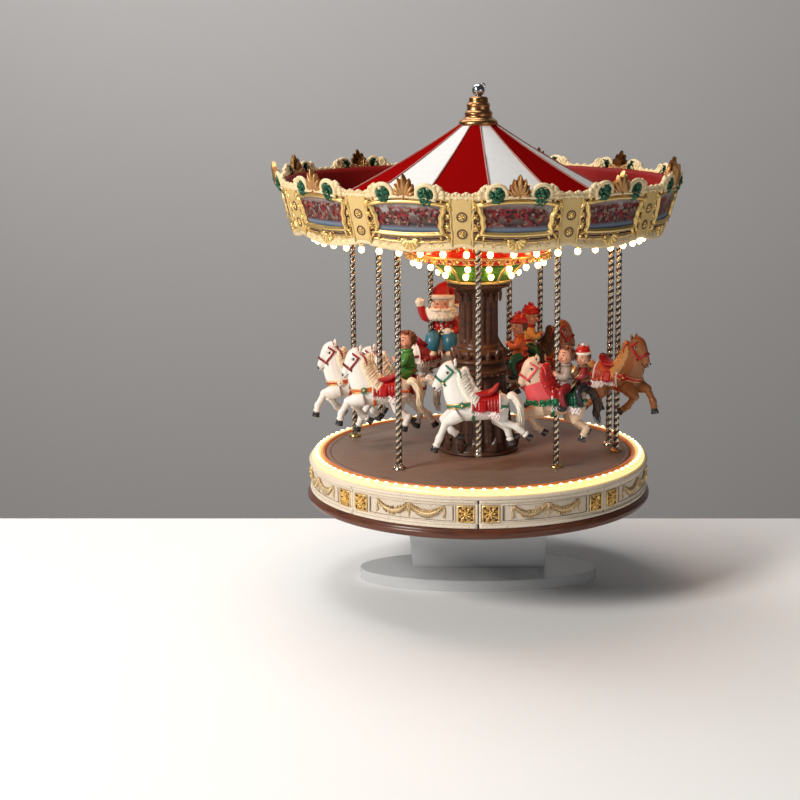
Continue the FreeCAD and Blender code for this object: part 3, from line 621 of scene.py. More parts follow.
def leaf(build, root, angle, length, width, height, kind=0, curve=0.0):
    """A lobed leaf with a raised rib, lying on the surface."""
    a = math.radians(angle)

    def at(u, v):
        s = u
        t = v * 2 - 1
        lobes = 1 + 0.22 * math.sin(s * math.pi * 5) * abs(t)
        half = width * math.sin(math.pi * min(1.0, 0.08 + 0.92 * s) ** 0.75) * lobes
        bend = curve * s * s * length
        x, y = s * length, t * half + bend
        crown = height * (1 - abs(t) ** 1.6) * (0.45 + 0.55 * math.sin(math.pi * s))
        z = crown + 0.25 * height * (1 - abs(t)) - 0.1
        return (root[0] + x * math.cos(a) - y * math.sin(a), root[1] + x * math.sin(a) + y * math.cos(a), z)

    build.add(surface(9, 7, at), kind)


def off(root, angle, reach, height):
    """A place in ornament coordinates, at an angle in radians and a distance from a root."""
    return Vector((root[0] + math.cos(angle) * reach, root[1] + math.sin(angle) * reach, height))


def fan(build, root, angle, radius, ribs, spread, thick):
    """A scallop shell of ribs round a root."""
    for i in range(ribs):
        part = 0 if ribs == 1 else i / (ribs - 1) * 2 - 1
        a = math.radians(angle + part * spread / 2)
        reach = radius * (1 - 0.22 * part * part)
        start = off(root, a, radius * 0.15, thick * 0.5)
        end = off(root, a, reach, thick * 0.75)
        path = [start.lerp(end, t) for t in (0, 0.35, 0.7, 0.92, 1.0)]
        wide = radius * math.radians(spread) / ribs * 0.62
        radii = [wide * 0.25, wide * 0.55, wide * 0.85, wide, wide * 0.6]
        build.add(tube(path, radii, 7, 0.8))


def rosette(build, centre, radius, kind=0, petals=6, height=1.0):
    for i in range(petals):
        a = 2 * math.pi * i / petals
        turn = Matrix.Rotation(a, 3, "Z")
        at = off(centre, a, radius * 0.55, height * 0.35)
        build.add(ball(at, (radius * 0.5, radius * 0.33, height * 0.55), 5, 8, turn), kind)
    button = (radius * 0.34, radius * 0.34, height * 0.6)
    build.add(ball((centre[0], centre[1], height * 0.7), button, 6, 10), kind)


def bead(build, centre, radius):
    build.add(ball((centre[0], centre[1], radius * 0.4), radius, 5, 8))


def slab(build, corners, height, kind=0, steps=10):
    """A softly domed plate over a four-cornered patch, with its sides turned down."""
    low_left, low_right, high_right, high_left = [Vector(c) for c in corners]

    def at(u, v):
        p = low_left.lerp(low_right, u).lerp(high_left.lerp(high_right, u), v)
        edge = min(u, 1 - u, v, 1 - v)
        return (p.x, p.y, height * min(1.0, edge * steps))

    build.add(surface(steps + 1, steps + 1, at), kind)


def on_wall(radius, angle, low):
    """Places flat ornament on an upright wall, centred on a station."""

    def place(p):
        return station(radius + p.z, angle + math.degrees(p.x / radius), low + p.y)

    return place


# Materials in use ---------------------------------------------------------------------------------


def make_materials():
    # For paint and gilt, the colour after the main one is the painted shade laid into recesses.
    return {
        "wood": varnished_wood("plinth_wood", (0.060, 0.018, 0.010), (0.145, 0.048, 0.024)),
        "cream": paint(
            "antique_cream", (0.66, 0.57, 0.45), (0.12, 0.05, 0.018), 0.42, 0.05,
            worn=(0.40, 0.27, 0.16), gloss=0.3,
        ),
        "cream_gold": paint(
            "cream_gold", (0.60, 0.41, 0.15), (0.15, 0.055, 0.012), 0.32, 0.2, gloss=0.4
        ),
        "pale_shell": paint(
            "pale_shell", (0.72, 0.56, 0.32), (0.17, 0.06, 0.014), 0.34, 0.15, gloss=0.3
        ),
        "gilt": gilt("gilt"),
        "brown_gilt": gilt("brown_gilt", (0.42, 0.20, 0.055), (0.05, 0.016, 0.004), 0.34),
        "garland": gilt("garland_gilt", (0.60, 0.44, 0.23), (0.07, 0.03, 0.012), 0.34),
        # Brown for painted lines, and also painted shade in recesses and beside frames.
        "brown_line_and_painted_shade": paint("brown_line_and_painted_shade", (0.09, 0.03, 0.012), None, 0.4),
        "floor": varnished_wood(
            "floor_board", (0.19, 0.125, 0.092), (0.25, 0.170, 0.128), 0.42, 0.05, (1, 3, 1)
        ),
        # Painted light: the lip glows as if lit by the strip, though it holds no lamp.
        "lip": glow("lit_lip", (0.62, 0.14, 0.02), (0.50, 0.09, 0.012), 0.42, base=(0.36, 0.13, 0.04)),
        "led_ring": glow(
            "led_ring", (1.0, 0.46, 0.11), (1.0, 0.84, 0.36), 1.0, 113.5, 120.8, (0.62, 0.45, 0.18)
        ),
        "led_dot": glow("led_dot", (1.0, 0.84, 0.50), (1.0, 0.88, 0.58), 4.0),
        "bulb": glow("warm_bulb", (1.0, 0.66, 0.22), (1.0, 0.76, 0.34), 9.0),
        "column": varnished_wood(
            "column_brown", (0.034, 0.015, 0.008), (0.115, 0.045, 0.021), 0.34, 0.2
        ),
        "drum": varnished_wood("drum_brown", (0.024, 0.011, 0.006), (0.080, 0.034, 0.018), 0.36, 0.2),
        "tier_red": paint("tier_red", (0.55, 0.016, 0.008), (0.20, 0.006, 0.003), 0.26, 0.4),
        "band_red": paint("band_red", (0.20, 0.008, 0.006), (0.05, 0.003, 0.002), 0.45, 0.0, gloss=0.1),
        "green_glitter": glitter("green_glitter", (0.005, 0.10, 0.040), (0.0, 0.020, 0.008)),
        "tier_green": glitter("tier_green", (0.10, 0.30, 0.02), (0.02, 0.09, 0.0)),
        "roof_red": paint("roof_red", (0.215, 0.002, 0.002), (0.06, 0.001, 0.001), 0.5, gloss=0.0),
        "roof_white": paint("roof_white", (0.62, 0.61, 0.595), (0.42, 0.38, 0.32), 0.5, gloss=0.2),
        "seam": paint("roof_seam", (0.30, 0.10, 0.07), (0.06, 0.015, 0.01), 0.4),
        "copper": polished_metal("finial_copper", (0.55, 0.27, 0.11), 0.2, (0.14, 0.05, 0.02), 300.0),
        "chrome": polished_metal("chrome_ball", (0.62, 0.63, 0.65), 0.07, (0.2, 0.2, 0.21), 200.0),
        "rope": polished_metal("twisted_brass", (0.66, 0.58, 0.46), 0.14, (0.10, 0.06, 0.035), 240.0),
        # Painted shade for the poles' grooves.
        "groove": paint("pole_groove", (0.040, 0.018, 0.010), (0.012, 0.006, 0.004), 0.3),
        "picture": crowd_picture("crowd_picture"),
        "steel": polished_metal("steel", (0.56, 0.56, 0.57), 0.22),
        "brass": polished_metal("brass", (0.72, 0.51, 0.20), 0.22),
        "zinc": polished_metal("zinc_plate", (0.60, 0.61, 0.63), 0.36),
        "plastic": paint("black_plastic", (0.022, 0.022, 0.024), (0.01, 0.01, 0.01), 0.42, bump=0.25),
        "board": paint("led_board", (0.72, 0.70, 0.64), (0.4, 0.38, 0.34), 0.5),
        "base_board": varnished_wood("fibre_board", (0.09, 0.045, 0.022), (0.17, 0.09, 0.05), 0.5, 0.0),
        "cell": paint("cell_sleeve", (0.05, 0.10, 0.22), (0.02, 0.03, 0.06), 0.3, 0.4),
        "acrylic": clear_acrylic("clear_acrylic"),
    }


def crowd_picture(name):
    """A painted view: grey sky, a crowd of dark and red dabs, and a blue-grey foreground."""
    s = Shader(name)
    split = s.node("ShaderNodeSeparateXYZ")
    s.link(s.coords(), split.inputs[0])
    height = s.node("ShaderNodeMapRange")
    height.inputs["From Min"].default_value = PLINTH_Z + 205.0 * MM
    height.inputs["From Max"].default_value = PLINTH_Z + 225.0 * MM
    s.link(split.outputs["Z"], height.inputs["Value"])
    ground = s.ramp(
        height.outputs["Result"],
        [(0.0, (0.05, 0.09, 0.15)), (0.10, (0.16, 0.20, 0.26)), (0.24, (0.05, 0.035, 0.035)),
         (0.50, (0.14, 0.10, 0.09)), (0.66, (0.34, 0.32, 0.30)), (1.0, (0.26, 0.24, 0.23))],
    )
    cells = s.node("ShaderNodeTexVoronoi")
    cells.inputs["Scale"].default_value = 640.0
    s.link(s.coords(), cells.inputs["Vector"])
    dabs = s.ramp(
        cells.outputs["Color"],
        [(0.2, (0.05, 0.010, 0.010)), (0.42, (0.30, 0.030, 0.040)), (0.58, (0.05, 0.018, 0.012)),
         (0.72, (0.30, 0.20, 0.14)), (0.78, (0.03, 0.015, 0.02))],
    )
    no, yes = (0, 0, 0), (1, 1, 1)
    band = s.ramp(height.outputs["Result"], [(0.14, no), (0.24, yes), (0.74, yes), (0.92, no)])
    clumps = s.ramp(s.noise(150.0, 6.0), [(0.40, no), (0.47, yes)])
    tone = s.blend(s.blend(1.0, band, clumps, "MULTIPLY"), ground, dabs)
    s.link(tone, s.surface.inputs["Base Color"])
    s.surface.inputs["Roughness"].default_value = 0.4
    s.surface.inputs["Specular IOR Level"].default_value = 0.12
    s.bump(s.noise(1500.0), 0.08)
    return s.material


# Base ---------------------------------------------------------------------------------------------

PANELS = 8
PANEL_FACE_R = 120.9


def arc_sector(outline, middle, width, steps=24):
    """An outline of (radius, z) swept through part of a turn and closed at both ends."""

    def at(u, v):
        r, z = outline[round(v * len(outline)) % len(outline)]
        return station(r, middle + (u - 0.5) * width, z)

    points, faces = surface(steps + 1, len(outline), at, wrap_v=True)
    count = len(outline)
    faces.append(tuple(range(count)))
    faces.append(tuple(steps * count + i for i in range(count))[::-1])
    return points, faces


def square_corners(x, y, half):
    return [(x - half, y - half), (x + half, y - half), (x + half, y + half), (x - half, y + half)]


def acanthus_square(build, x, y, size):
    """A framed gilt square of curled leaves."""
    # A brown sheet under the leaves: painted shade between them.
    slab(build, square_corners(x, y, size / 2), 0.3, 1, 8)
    ring = [Vector((*corner, 0.6)) for corner in square_corners(x, y, size / 2 - 0.5)]
    path = [ring[i].lerp(ring[(i + 1) % 4], t) for i in range(4) for t in (0, 0.33, 0.66)]
    build.add(tube(path, 0.55, 6, closed=True))
    rosette(build, (x, y), 1.9, 0, 6, 1.9)
    for i in range(8):
        a = 45.0 * i
        c, s = math.cos(math.radians(a)), math.sin(math.radians(a))
        leaf(build, (x + c * 1.2, y + s * 1.2), a + 12, 4.4 if i % 2 else 3.2, 1.0, 1.9, 0, 0.25)
        if i % 2:
            curl(build, (x + c * 4.3 - s * 1.7, y + s * 4.3 + c * 1.7), a + 180, 1.2, 1.5, 1, 0.62)
            curl(build, (x + c * 4.3 + s * 1.7, y + s * 4.3 - c * 1.7), a, 1.2, 1.5, -1, 0.62)


def swag(build, start, end, sag, rng):
    """A hanging garland of small leaves and buds between two points."""
    count = 22
    for i in range(count):
        t = i / (count - 1)
        x = mix(start[0], end[0], t)
        y = mix(start[1], end[1], t) - sag * 4 * t * (1 - t)
        slope = math.degrees(math.atan2(-sag * 4 * (1 - 2 * t), end[0] - start[0]))
        thick = 0.75 + 0.85 * math.sin(math.pi * t)
        build.add(ball((x, y, 0.7), (thick * 0.8, thick * 0.7, 0.8), 5, 8))
        for side in (-1, 1):
            leaf(build, (x, y), slope + side * rng.uniform(35, 70), thick * 2.3, 0.75, 1.5)


def garland(build, rng):
    """A double swag with its ribbons and the rosette at its middle."""
    for side in (-1, 1):
        swag(build, (side * 23.5, 21.6), (side * 2.0, 21.0), 5.0, rng)
        rosette(build, (side * 24.0, 21.4), 1.6, 0, 5, 1.2)
        tail = [Vector((side * (24.6 + 0.6 * math.sin(k * 1.3)), 20.5 - k * 1.5, 0.5)) for k in range(5)]
        build.add(tube(tail, [0.7, 0.9, 0.8, 0.9, 0.35], 6, 0.6))
        for k in range(3):
            leaf(build, (side * 24.6, 19.5 - 2 * k), -90 + side * 30, 2.4, 0.6, 0.7)
    rosette(build, (0, 20.8), 2.3, 0, 6, 1.6)
    leaf(build, (0, 19.5), -90, 6.5, 1.3, 1.1)
    for side in (-1, 1):
        leaf(build, (0, 20.0), -90 + side * 38, 5.0, 0.8, 0.9, 0, side * 0.2)
        curl(build, (side * 2.6, 17.8), 90, 0.9, 1.4, side, 0.4)


def make_plinth_ring(m):
    edge, top = radius_of("plinth"), top_of("plinth")
    outline = [(110.0, 0.3), (edge - 2.6, 0.0), (edge - 0.7, 0.9), (edge, 2.8), (edge - 0.2, 4.6)]
    outline += [(edge - 1.3, 5.6), (edge - 1.4, 6.2), (edge - 2.6, top), (110.0, top)]
    ring = Build().add(revolved(rounded(outline, 0.9), 240))
    ring.piece("plinth_ring", m["wood"], "base", "dark_wood", ["plinth"])


def make_lip_ring(m):
    """The wall behind the panels. Where it rises above them it has a painted glow, standing in for light
    from the strip.
    """
    shell = [(112.0, 7.5), (118.5, 7.5), (118.5, 27.0), (114.3, 27.0)]
    shell += [(114.3, 32.4), (113.3, 33.9), (111.6, 33.7), (111.4, 27.0)]
    shell = rounded(shell, 0.5)
    ring = Build().add(revolved(shell, 240))
    ring.kinds = [0 if shell[i % len(shell)][1] > 27.5 else 1 for i in range(len(ring.faces))]
    ring.piece("lit_lip_ring", [m["lip"], m["brown_line_and_painted_shade"]], "base", "dark_wood", ["base_shell"])


def panel_section():
    """The outline of a panel with its foot moulding and its top bead."""
    face = PANEL_FACE_R
    section = [(118.5, 7.6), (face + 1.3, 7.6), (face + 1.5, 8.6), (face + 1.2, 9.4)]
    section += [(face + 0.3, 9.8), (face + 0.25, 10.4), (face, 10.8), (face, 23.9)]
    section += [(face + 0.25, 24.2), (face + 0.3, 24.8), (face + 1.0, 25.2), (face + 1.3, 26.0)]
    section += [(face + 1.2, 26.95), (118.5, 26.95)]
    return rounded(section, 0.3, 2)


def panel_relief(half, rng):
    """The squares, the plain relief with its stiles and border, and the garland of one panel."""
    squares, plain_relief, leaves = Build(), Build(), Build()
    for side in (-1, 1):
        acanthus_square(squares, side * (half - 8.2), 17.4, 11.6)
        x = side * (half - 1.2)
        slab(plain_relief, [(x - 0.9, 10.4), (x + 0.9, 10.4), (x + 0.9, 24.4), (x - 0.9, 24.4)], 0.8, 0, 6)
    garland(leaves, rng)
    inset = half - 15.6
    corners = [(-inset, 12.0), (inset, 12.0), (inset, 23.4), (-inset, 23.4)]
    border = [Vector((*corner, 0.2)) for corner in corners]
    border = [border[k].lerp(border[(k + 1) % 4], t / 8) for k in range(4) for t in range(8)]
    plain_relief.add(tube(border, 0.42, 6, closed=True))
    # A brown line just inside the border: painted shade in the recess.
    inner = [p.lerp(Vector((0, 17.7, 0.2)), 0.04) for p in border]
    plain_relief.add(tube(inner, 0.3, 6, closed=True), 1)
    return squares, plain_relief, leaves


def make_base(m):
    make_plinth_ring(m)
    make_lip_ring(m)
    step = 360.0 / PANELS
    half = math.radians(step / 2) * PANEL_FACE_R
    panels, squares, garlands = Build(), Build(), Build()
    rng = random.Random(3)
    for i in range(PANELS):
        middle = step * (i + 0.5)
        panels.add(arc_sector(panel_section(), middle, step - 0.55, 40))
        flat, stiles, leaves = panel_relief(half, rng)
        place = on_wall(PANEL_FACE_R, middle, 0.0)
        squares.merge(flat.copied(place))
        garlands.merge(leaves.copied(place))
        panels.merge(stiles.copied(place))
    panels.piece("painted_panels", [m["cream"], m["brown_line_and_painted_shade"]], "base", "cream_paint", ["base_panels"])
    squares.piece("gilt_squares", [m["gilt"], m["brown_line_and_painted_shade"]], "base", "gilt", ["base_ornaments"])
    garlands.piece("garlands", m["garland"], "base", "gilt", ["base_ornaments"])
    face = PANEL_FACE_R
    rail = [(113.6, 27.0), (face + 1.4, 27.0), (face + 2.1, 27.7), (face + 1.9, 28.6)]
    rail += [(face + 1.1, 29.4), (113.6, 29.5)]
    ring = Build().add(revolved(rounded(rail, 0.5), 240))
    ring.piece("top_rail", m["cream"], "base", "cream_paint", ["top_moulding"])


def make_led_ring(m):
    """The lit diffuser, with a bright dot over every diode."""
    outline = [(113.9, 29.5), (120.6, 29.5), (120.7, 31.0), (119.6, 32.8)]
    outline += [(117.8, 33.4), (116.2, 33.4), (114.6, 32.6), (113.9, 31.0)]
    ring = Build().add(revolved(rounded(outline, 0.8), 240))
    ring.piece("lit_ring", m["led_ring"], "base", "led_glow", ["led_diffuser"])
    count = 96
    dots = Build()
    for i in range(count):
        p = station(117.5, 360.0 / count * (i + 0.5), 33.25)
        dots.add(ball(p, (1.35, 1.35, 0.85), 6, 10))
    dots.piece("led_dots", m["led_dot"], "base", "led_glow", ["led_diffuser"])


# Turntable, column and tiers ----------------------------------------------------------------------


def make_floor(m):
    edge = radius_of("floor_disc")
    top = top_of("floor_disc")
    outline = [(6.0, 30.5), (edge, 30.5), (edge + 0.2, 31.6), (edge, 32.7), (edge - 0.9, top + 0.1)]
    outline += [(edge - 3.4, top), (edge - 3.8, top - 0.5), (edge - 4.3, top - 0.05)]
    outline += [(edge - 5.0, top), (40.0, top), (6.0, top)]
    board = Build().add(revolved(outline, 240))
    board.piece("turntable_floor", m["floor"], "turntable", "brown_board", ["floor_disc"])


def pleats(count, depth, low, high):
    """Deepens folds between two heights."""

    def swell(a, r, z):
        if r < 10 or not low < z < high:
            return r
        fade = min(1.0, (z - low) / 4, (high - z) / 4)
        return r - depth * fade * (1 - abs(math.sin(count * a / 2)) ** 0.8)

    return swell


def dense(outline, step=1.6):
    """The same outline with extra points along its long sides."""
    out = []
    for i, p in enumerate(outline):
        q = outline[(i + 1) % len(outline)]
        count = max(1, round(math.dist(p, q) / step))
        out += [(mix(p[0], q[0], k / count), mix(p[1], q[1], k / count)) for k in range(count)]
    return out


def ring_of(build, count, radius, z, make, offset=0.0):
    """Repeats a flat ornament round an upright wall."""
    flat = Build()
    make(flat)
    for i in range(count):
        build.merge(flat.copied(on_wall(radius, 360.0 / count * (i + offset), z)))


def make_column(m):
    floor = top_of("floor_disc")
    drum = [(6.0, floor), (29.0, floor), (29.3, floor + 1.6), (28.0, floor + 2.8)]
    drum += [(27.4, floor + 5.0), (25.6, 46.0), (22.6, 66.0), (20.2, 84.0), (20.0, 87.5)]
    drum += [(22.0, 89.5), (22.4, 91.5), (21.4, 93.4), (18.4, 95.0), (18.4, 98.0), (6.0, 98.0)]
    body = Build().add(revolved(dense(rounded(drum, 0.8), 2.0), 200, pleats(18, 2.4, 40.0, 86.0)))
    ring_of(body, 14, 28.0, floor + 3.0, lambda b: leaf(b, (0, 0), 90, 11.0, 3.6, 1.8))
    ring_of(body, 28, 22.2, 90.6, lambda b: bead(b, (0, 0), 1.25))
    body.piece("pleated_drum", m["drum"], "turntable", "column_brown", ["column_drum"])

    shaft = [(6.0, 98.0), (19.6, 98.0), (20.2, 99.4), (19.4, 100.8), (17.2, 101.8)]
    shaft += [(17.0, 103.0), (18.4, 104.0), (18.8, 105.4), (18.0, 107.0), (16.2, 108.2)]
    shaft += [(15.6, 110.0), (14.4, 111.5), (14.2, 148.0), (15.6, 149.2), (17.2, 151.0)]
    shaft += [(21.2, 152.6), (22.0, 154.0), (21.6, 156.0), (6.0, 156.0)]
    rod = Build().add(revolved(dense(rounded(shaft, 0.6), 2.0), 256, pleats(16, 2.0, 112.0, 148.0)))
    ring_of(rod, 16, 18.6, 100.5, lambda b: leaf(b, (0, 0), 90, 7.5, 2.2, 1.6))
    ring_of(rod, 16, 15.6, 142.0, lambda b: leaf(b, (0, 0), 90, 9.0, 2.0, 1.4), 0.5)
    ring_of(rod, 36, 21.4, 153.6, lambda b: bead(b, (0, 0), 0.95))
    rod.piece("fluted_shaft", m["column"], "turntable", "column_brown", ["column_shaft"])


def profile_rib(outline, angle):
    """A rib's path up a turned profile, a little proud of it."""
    return [station(r + 0.4, angle, z) for r, z in outline]


def make_tiers(m):
    low = [(22.0, 156.0), (22.8, 158.0), (25.0, 162.0), (28.4, 166.0), (31.0, 168.4), (31.4, 170.6)]
    outline = [(6.0, 156.0)] + dense(low, 1.5)[:-1] + [(31.4, 171.0), (6.0, 171.0)]
    lower = Build().add(revolved(outline, 160))
    lower.piece("green_tier", m["tier_green"], "turntable", "green_paint", ["lower_tier"])
    trims = Build()
    for i in range(10):
        trims.add(tube(profile_rib(low, 36.0 * i), [1.0, 1.1, 1.3, 1.4, 1.3, 1.0], 8))
    trims.add(tube([station(22.6, 7.5 * i, 157.2) for i in range(48)], 1.3, 8, closed=True))
    ring_of(trims, 10, 27.0, 161.0, lambda b: rosette(b, (0, 0), 2.0, 0, 6, 1.4), 0.5)
    trims.piece("green_tier_gilding", m["gilt"], "turntable", "gilt", ["lower_tier"])

    bowl = [(30.0, 171.0), (38.0, 171.4), (45.0, 172.6), (49.5, 174.2), (51.2, 176.5), (49.6, 178.8)]
    bowl += [(46.0, 180.6), (44.2, 182.0), (44.0, 186.0), (44.4, 191.0), (46.5, 193.8), (50.0, 196.0)]
    inner = [(46.0, 196.0), (42.0, 192.0), (41.5, 180.0), (38.0, 173.6), (6.0, 173.6), (6.0, 171.0)]
    upper = Build().add(revolved(rounded(bowl, 0.6) + inner, 180))
    upper.piece("red_tier", m["tier_red"], "turntable", "red_paint", ["upper_tier"])
    gold = Build()
    gold.add(tube([station(51.0, 6.0 * i, 177.6) for i in range(60)], 1.1, 8, closed=True))
    ring_of(gold, 40, 51.0, 176.0, lambda b: fan(b, (0, 1.2), -90, 3.8, 3, 110, 1.0))
    ring_of(gold, 16, 44.2, 187.0, lambda b: leaf(b, (0, -3.5), 90, 7.0, 1.5, 1.2), 0.0)
    ring_of(gold, 16, 44.2, 183.0, lambda b: curl(b, (-2.6, 0), 0, 1.2, 2.2, 1, 0.6), 0.0)
    ring_of(gold, 16, 44.2, 183.0, lambda b: curl(b, (2.6, 0), 180, 1.2, 2.2, -1, 0.6), 0.0)
    gold.add(tube([station(47.5, 6.0 * i, 194.6) for i in range(60)], 1.0, 8, closed=True))
    gold.piece("red_tier_gilding", m["gilt"], "turntable", "gilt", ["upper_tier"])


BULB_RINGS = [(20, 46.8, 170.2), (16, 46.2, 187.0), (10, 28.6, 162.4), (48, 117.0, 189.2)]


def make_bulbs(m):
    glass, caps = Build(), Build()
    for count, radius, z in BULB_RINGS:
        for i in range(count):
            p = station(radius, 360.0 / count * (i + 0.5), z)
            glass.add(ball(p, (2.1, 2.1, 2.4), 7, 12))
            inward = Vector((p.x, p.y, 0)).normalized()
            if z < 180 or radius > 60:
                stem = [p + Vector((0, 0, 1.6)), Vector((p.x, p.y, 196.0 if radius > 60 else z + 3.4))]
            else:
                stem = [p - inward * 1.2, p - inward * 3.0]
            caps.add(tube(stem, 1.3, 8))
    glass.piece("lit_bulbs", m["bulb"], "turntable", "bulb", ["canopy_bulbs"])
    caps.piece("bulb_caps", m["brass"], "turntable", "brass", ["canopy_bulbs"])


# Canopy -------------------------------------------------------------------------------------------

PANEL_STEP = 30.0
PANEL_TURN = 10.6
BAND_LOW = (130.0, 196.0)
BAND_HIGH = (139.0, 229.0)
BAND_SLOPE = math.hypot(BAND_HIGH[0] - BAND_LOW[0], BAND_HIGH[1] - BAND_LOW[1])
BAND_R = (BAND_LOW[0] + BAND_HIGH[0]) / 2


def on_cornice(angle):
    """Places flat ornament on the flared band, centred on a station. y runs up the slope."""
    rise = (BAND_HIGH[1] - BAND_LOW[1]) / BAND_SLOPE
    flare = (BAND_HIGH[0] - BAND_LOW[0]) / BAND_SLOPE

    def place(p):
        radius = BAND_LOW[0] + p.y * flare + p.z * rise
        return station(radius, angle + math.degrees(p.x / BAND_R), BAND_LOW[1] + p.y * rise - p.z * flare)

    return place


def dip(x):
    """How far the band's lower edge hangs, for a distance along it from a panel's middle."""
    half = math.radians(PANEL_STEP / 2) * BAND_R
    hang = 4.6 * math.cos(math.pi * min(abs(x), half) / half / 2) ** 0.8
    scallops = 0.6 * abs(math.sin(x * math.pi / 7.0))
    return hang - scallops


def make_cornice_band(m):
    """The flared band with its scalloped lower edge: cream outside and red inside."""
    steps = 480
    outside = [(0.0, 1.2), (0.02, 1.9), (0.07, 1.5), (0.12, 0.4), (0.5, 0.0)]
    outside += [(0.9, 0.4), (0.95, 1.6), (0.985, 2.0), (1.0, 1.2)]
    inside = [(1.0, -1.6), (0.9, -2.2), (0.5, -2.2), (0.1, -2.2), (0.0, -1.4)]
    section = outside + inside
    place = on_cornice(0.0)
    length = 2 * math.pi * BAND_R

    def at(u, v):
        y, out = section[round(v * len(section)) % len(section)]
        along = u * length
        pitch = length / 12
        local = (along - PANEL_TURN / 360 * length + pitch / 2) % pitch - pitch / 2
        low = -dip(local)
        return place(Vector((along, mix(low, BAND_SLOPE, y), out)))

    points, faces = surface(steps, len(section), at, wrap_u=True, wrap_v=True)
    band = Build().add((points, faces))
    in_back = range(len(outside), len(section) - 1)
    band.kinds = [1 if i % len(section) in in_back else 0 for i in range(len(faces))]
    materials = [m["pale_shell"], m["band_red"]]
    band.piece("cornice_band", materials, "turntable", "cream_paint", ["cornice_panels"])


def picture_point(u, v):
    """A place on the arched picture, with u and v from -1 to 1 across it and up it."""
    x = u * (22.6 + 1.3 * v - 1.5 * (1 - v * v))
    arch = (2.2 * (1 - u * u) - 1.6) * (0.5 + 0.5 * v)
    sag = -0.9 * (1 - u * u) * (0.5 - 0.5 * v)
    return x, 19.5 + 9.6 * v + arch + sag


def frame_path(grow, out):
    """A wavy path round the picture, enlarged from its middle."""
    corners = [(-1, -1), (1, -1), (1, 1), (-1, 1)]
    path = []
    for i, a in enumerate(corners):
        b = corners[(i + 1) % 4]
        for k in range(12):
            x, y = picture_point(mix(a[0], b[0], k / 12), mix(a[1], b[1], k / 12))
            wave = 0.45 * math.sin(k * math.pi / 2) if i % 2 else 0.0
            path.append(Vector((x * (1 + (grow - 1) * 0.62) + wave, 19.5 + (y - 19.5) * grow, out)))
    return path


def framed_picture(pictures, frame):
    """An arched picture in a scrolled gilt frame."""
    # Brown lines beside the picture and outside the frame: painted shadow.
    for grow in (1.05, 1.20):
        frame.add(tube(frame_path(grow, 0.9), 0.8, 6, closed=True), 1)
    pictures.add(surface(24, 12, lambda u, v: (*picture_point(u * 2 - 1, v * 2 - 1), 0.8)))
    for grow, thick, out in ((1.01, 0.85, 1.4), (1.085, 1.15, 2.0), (1.15, 0.8, 1.3)):
        frame.add(tube(frame_path(grow, out), thick, 7, closed=True))
    for side in (-1, 1):
        for y, way in ((11.0, -1), (15.5, 1), (20.5, -1), (25.0, 1)):
            curl(frame, (side * (24.0 + (y - 10) * 0.06), y), 90 * way, 1.3, 2.3, side * way, 0.85)
        for k in range(7):
            y = 8.0 + 3.5 * k
            leaf(frame, (side * (24.2 + 0.07 * y), y), 90 - side * (28 if k % 2 else 142), 5.4, 1.5, 2.4)
        for y in (12.6, 26.0):
            curl(frame, (side * (26.4 + 0.06 * y), y), 90, 1.4, 2.6, -side, 1.0)
        # A brown backing behind the side scrolls: painted shade in the recess.
        backing = [(side * x, y) for x, y in ((21.4, 7.4), (28.6, 6.4), (30.2, 31.0), (23.0, 31.4))]
        slab(frame, backing[::side], 0.5, 1, 6)
        for root, angle in (((22.6, 9.4), -30), ((21.0, 8.6), -78), ((24.6, 27.4), 40), ((23.0, 28.8), 96)):
            leaf(frame, (side * root[0], root[1]), angle if side > 0 else 180 - angle, 5.4, 1.6, 2.2)


def lower_trim(lines, frame):
    """The brown and gold lines under the picture and the shell where the band hangs lowest."""
    xs = [-27.0 + 1.5 * i for i in range(37)]
    brown = [Vector((x, 6.9 - 0.55 * dip(x), 0.7)) for x in xs]
    gold = [Vector((x, 5.3 - 0.62 * dip(x), 0.9)) for x in xs]
    lines.add(tube(brown, 0.62, 6))
    frame.add(tube(gold, 0.55, 6))
    fan(frame, (0, 5.2), -90, 8.0, 7, 150, 1.3)
    for x in (-24.0, -18.0, -12.0, 12.0, 18.0, 24.0):
        fan(frame, (x, 3.2 - 0.9 * dip(x)), -90, 3.4, 4, 130, 1.0)
    for side in (-1, 1):
        curl(frame, (side * 6.4, 3.9), 90, 1.2, 2.2, -side, 0.8)
        leaf(frame, (side * 8.0, 3.2), 90 - side * 98, 8.0, 1.3, 1.2, 0, -side * 0.1)
        curl(frame, (side * 19.0, 3.6), -90, 1.1, 1.7, side, 0.6)


